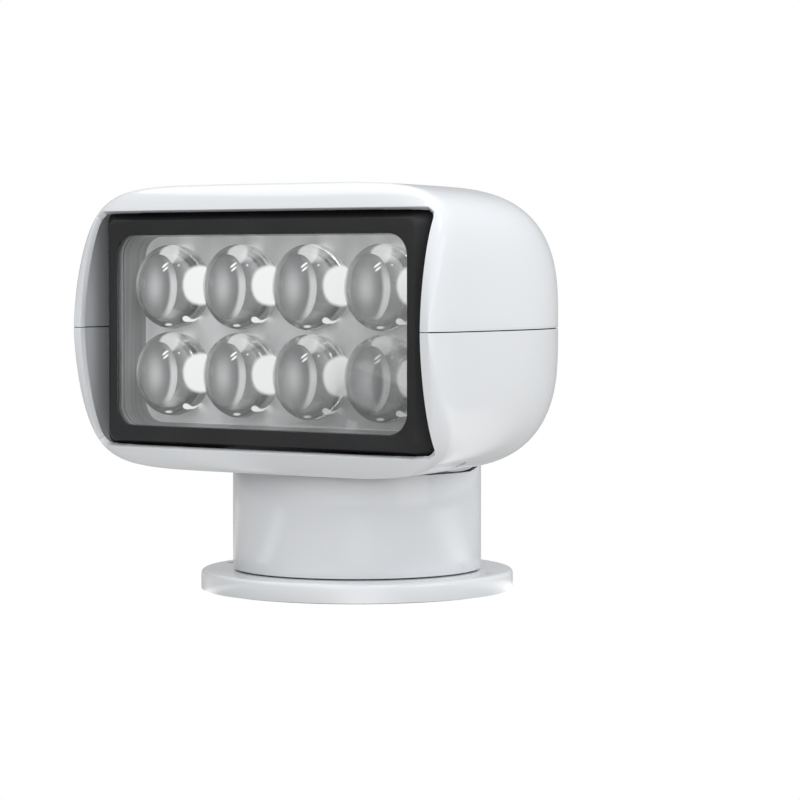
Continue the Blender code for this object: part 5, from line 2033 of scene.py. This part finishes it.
@dataclass
class Carried:
    """The CAD nodes that keep their shape and get a finish."""

    slots: dict[str, Slot] = field(
        default_factory=lambda: {
            "base_gasket": Slot.RUBBER,
            "cable_gland": Slot.BLACK,
            "hub_post": Slot.ALLOY,
            "post_clip": Slot.STEEL,
            "pan_ring_gear": Slot.NYLON,
            "thrust_washer": Slot.NYLON,
            "neck_deck": Slot.BLACK,
            "neck_seal": Slot.RUBBER,
            "pan_bush": Slot.BRONZE,
            "pan_motor": Slot.STEEL,
            "yoke_arm_left": Slot.ALLOY,
            "yoke_arm_right": Slot.ALLOY,
            "trunnion_pin_left": Slot.STEEL,
            "trunnion_pin_right": Slot.STEEL,
            "tilt_sector_gear": Slot.NYLON,
            "pan_pinion": Slot.BRONZE,
            "seam_gasket": Slot.RUBBER,
            "heat_sink": Slot.ALLOY,
            "chassis": Slot.ALLOY,
            "trunnion_bush_left": Slot.BRONZE,
            "trunnion_bush_right": Slot.BRONZE,
            "tilt_motor": Slot.STEEL,
            "motor_strap": Slot.STEEL,
            "driver_board": Slot.CIRCUIT,
            "receiver_board": Slot.CIRCUIT,
            "aerial": Slot.BLACK,
            "shell_screw_1": Slot.STEEL,
            "shell_screw_2": Slot.STEEL,
            "shell_screw_3": Slot.STEEL,
            "shell_screw_4": Slot.STEEL,
            "tilt_pinion": Slot.BRONZE,
        }
    )

    def dress(self, nodes: dict[str, bpy.types.Object], finishes: Finishes) -> None:
        """Gives each carried node its finish.

        Args:
            nodes: The CAD nodes by name.
            finishes: The lamp's materials.
        """
        for name, slot in self.slots.items():
            mesh = nodes[name].data
            mesh.materials.clear()
            mesh.materials.append(finishes.of(slot))
            LOG.info("%s: carried over as %s", name, slot.value)
        emitters = nodes["led_board"].data
        emitters.materials.clear()
        emitters.materials.append(finishes.bright_board)


# Studio


@dataclass(frozen=True)
class SoftBox:
    """One area light, placed by its direction from the lamp; azimuth runs from the front to the right."""

    name: str
    azimuth: float
    rise: float
    reach: float
    size: tuple[float, float]
    power: float
    diffuse: bool = True
    glossy: bool = True

    def hang(self, aim: Vector) -> None:
        """Adds the light, turned towards a point.

        Args:
            aim: The point that it faces.
        """
        data = bpy.data.lights.new(self.name, "AREA")
        data.shape = "RECTANGLE"
        data.size, data.size_y = self.size
        data.energy = self.power
        item = bpy.data.objects.new(self.name, data)
        item.visible_camera = False
        item.visible_diffuse = self.diffuse
        item.visible_glossy = self.glossy
        turn, lift = math.radians(self.azimuth), math.radians(self.rise)
        flat = math.cos(lift)
        away = Vector((flat * math.sin(turn), -flat * math.cos(turn), math.sin(lift)))
        item.location = aim + away * self.reach
        item.rotation_mode = "QUATERNION"
        item.rotation_quaternion = (-away).to_track_quat("-Z", "Y")
        bpy.context.scene.collection.objects.link(item)


@dataclass
class Studio:
    """The pale floor, the soft light and the camera at the photograph's angle."""

    camera_at: Point = (0.8299, -1.1215, 0.1504)
    yaw: float = 35.67
    pitch: float = 2.53
    lens: float = 133.28
    sensor: float = 36.0
    floor_size: float = 12.0
    floor_glow: float = 0.49
    floor_reach: float = 0.9
    floor_fade: float = 0.7
    floor_drop: float = 0.3 * MM
    aim: Point = (0.0, 0.0, 0.1)
    wedges: tuple[tuple[float, float, float], ...] = (
        (-105.0, 18.0, 0.2),
        (-36.0, 13.0, 0.7),
        (38.5, 18.0, 0.3),
        (120.0, 30.0, 0.8),
    )
    room: float = 0.02
    tint: Point = (0.985, 1.0, 1.02)
    walls: tuple[tuple[float, float, float, float], ...] = (
        (0.0, 0.0, 1.0, 0.9),
        (0.866, 0.5, 0.0, 1.04),
        (-0.866, -0.5, 0.0, 0.14),
        (0.5, -0.866, 0.0, 1.4),
        (-0.5, 0.866, 0.0, 0.5),
    )
    boxes: tuple[SoftBox, ...] = (
        SoftBox("top_box", 30.0, 80.0, 1.8, (1.2, 1.2), 4.3),
        SoftBox("upper_left_box", -75.0, 62.0, 1.8, (1.1, 1.1), 5.2),
        SoftBox("right_box", 88.0, 6.0, 1.6, (0.9, 1.3), 1.85),
        SoftBox("front_fill", -15.0, 12.0, 1.5, (0.8, 0.6), 0.6, glossy=False),
        SoftBox("high_key", 62.0, 48.0, 1.8, (0.4, 0.4), 4.0),
    )

    def camera(self) -> None:
        """Makes the camera."""
        data = bpy.data.cameras.new("camera")
        data.lens = self.lens
        data.sensor_width = self.sensor
        data.sensor_fit = "HORIZONTAL"
        data.clip_end = 100.0
        item = bpy.data.objects.new("camera", data)
        item.location = self.camera_at
        item.rotation_euler = (math.radians(90.0 - self.pitch), 0.0, math.radians(self.yaw))
        bpy.context.scene.collection.objects.link(item)
        bpy.context.scene.camera = item

    def world(self) -> None:
        """A white backdrop for the camera, and a soft room whose walls differ in brightness."""
        graph = Graph("studio", world=True)
        at = graph.add("ShaderNodeTexCoord", out="Generated")
        level = graph.add("ShaderNodeValue")
        level.socket.default_value = self.room
        for x, y, z, strength in self.walls:
            dot = {"operation": "DOT_PRODUCT"}
            facing = graph.add("ShaderNodeVectorMath", dot, {0: at, 1: (x, y, z)}, "Value")
            level = level + facing.most(0.0) ** 2.0 * strength
        shares = {i: level * share for i, share in enumerate(self.tint)}
        tone = graph.add("ShaderNodeCombineColor", None, shares)
        room = graph.add("ShaderNodeBackground", None, {"Color": tone})
        seen = graph.add("ShaderNodeBackground", None, {"Color": (1.0, 1.0, 1.0, 1.0)})
        camera = graph.add("ShaderNodeLightPath", out="Is Camera Ray")
        both = graph.add("ShaderNodeMixShader", None, {0: camera, 1: room, 2: seen})
        bpy.context.scene.world = graph.finish(both)

    def floor(self) -> None:
        """Lays the floor: white to the camera, and paler grey to the lamp."""
        bpy.ops.mesh.primitive_plane_add(size=self.floor_size, location=(0.0, 0.0, -self.floor_drop))
        item = Bench.named("floor")
        graph = Graph("pale_floor")
        x, y, _ = graph.parts(graph.place())
        around = graph.add("ShaderNodeMath", {"operation": "ARCTAN2"}, {0: x, 1: y * -1.0})
        away = (x * x + y * y) ** 0.5
        near = 1 - away.fitted(self.floor_reach * self.floor_fade, self.floor_reach)
        level = graph.add("ShaderNodeValue")
        level.socket.default_value = self.floor_glow
        for azimuth, width, strength in self.wedges:
            off = graph.add("ShaderNodeMath", {"operation": "ABSOLUTE"}, {0: around - math.radians(azimuth)})
            level = level + (1 - off.fitted(0.0, math.radians(width))) * near * strength
        glow = graph.add("ShaderNodeEmission", None, {"Color": graph.level(level), "Strength": 1.0})
        seen = graph.add("ShaderNodeEmission", None, {"Color": grey(1.0), "Strength": 1.0})
        camera = graph.add("ShaderNodeLightPath", out="Is Camera Ray")
        both = graph.add("ShaderNodeMixShader", None, {0: camera, 1: glow, 2: seen})
        item.data.materials.append(graph.finish(both))

    def build(self) -> None:
        """Sets up the whole studio."""
        self.camera()
        self.world()
        for box in self.boxes:
            box.hang(Vector(self.aim))
        self.floor()
        bpy.context.scene.view_settings.view_transform = "Standard"


def main() -> None:
    """Builds the lamp and its studio."""
    logging.basicConfig(level=logging.INFO, format="%(name)s: %(message)s")
    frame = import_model()
    finishes = Finishes()
    Studio().build()
    for assembly in (HeadShells(), Window(), Optics(), Neck(), Flange()):
        for piece in assembly.build(finishes):
            LOG.info("built %s", piece.name)
    Carried().dress(frame["nodes"], finishes)
    Bench.clear_selection()


if __name__ == "__main__":
    main()
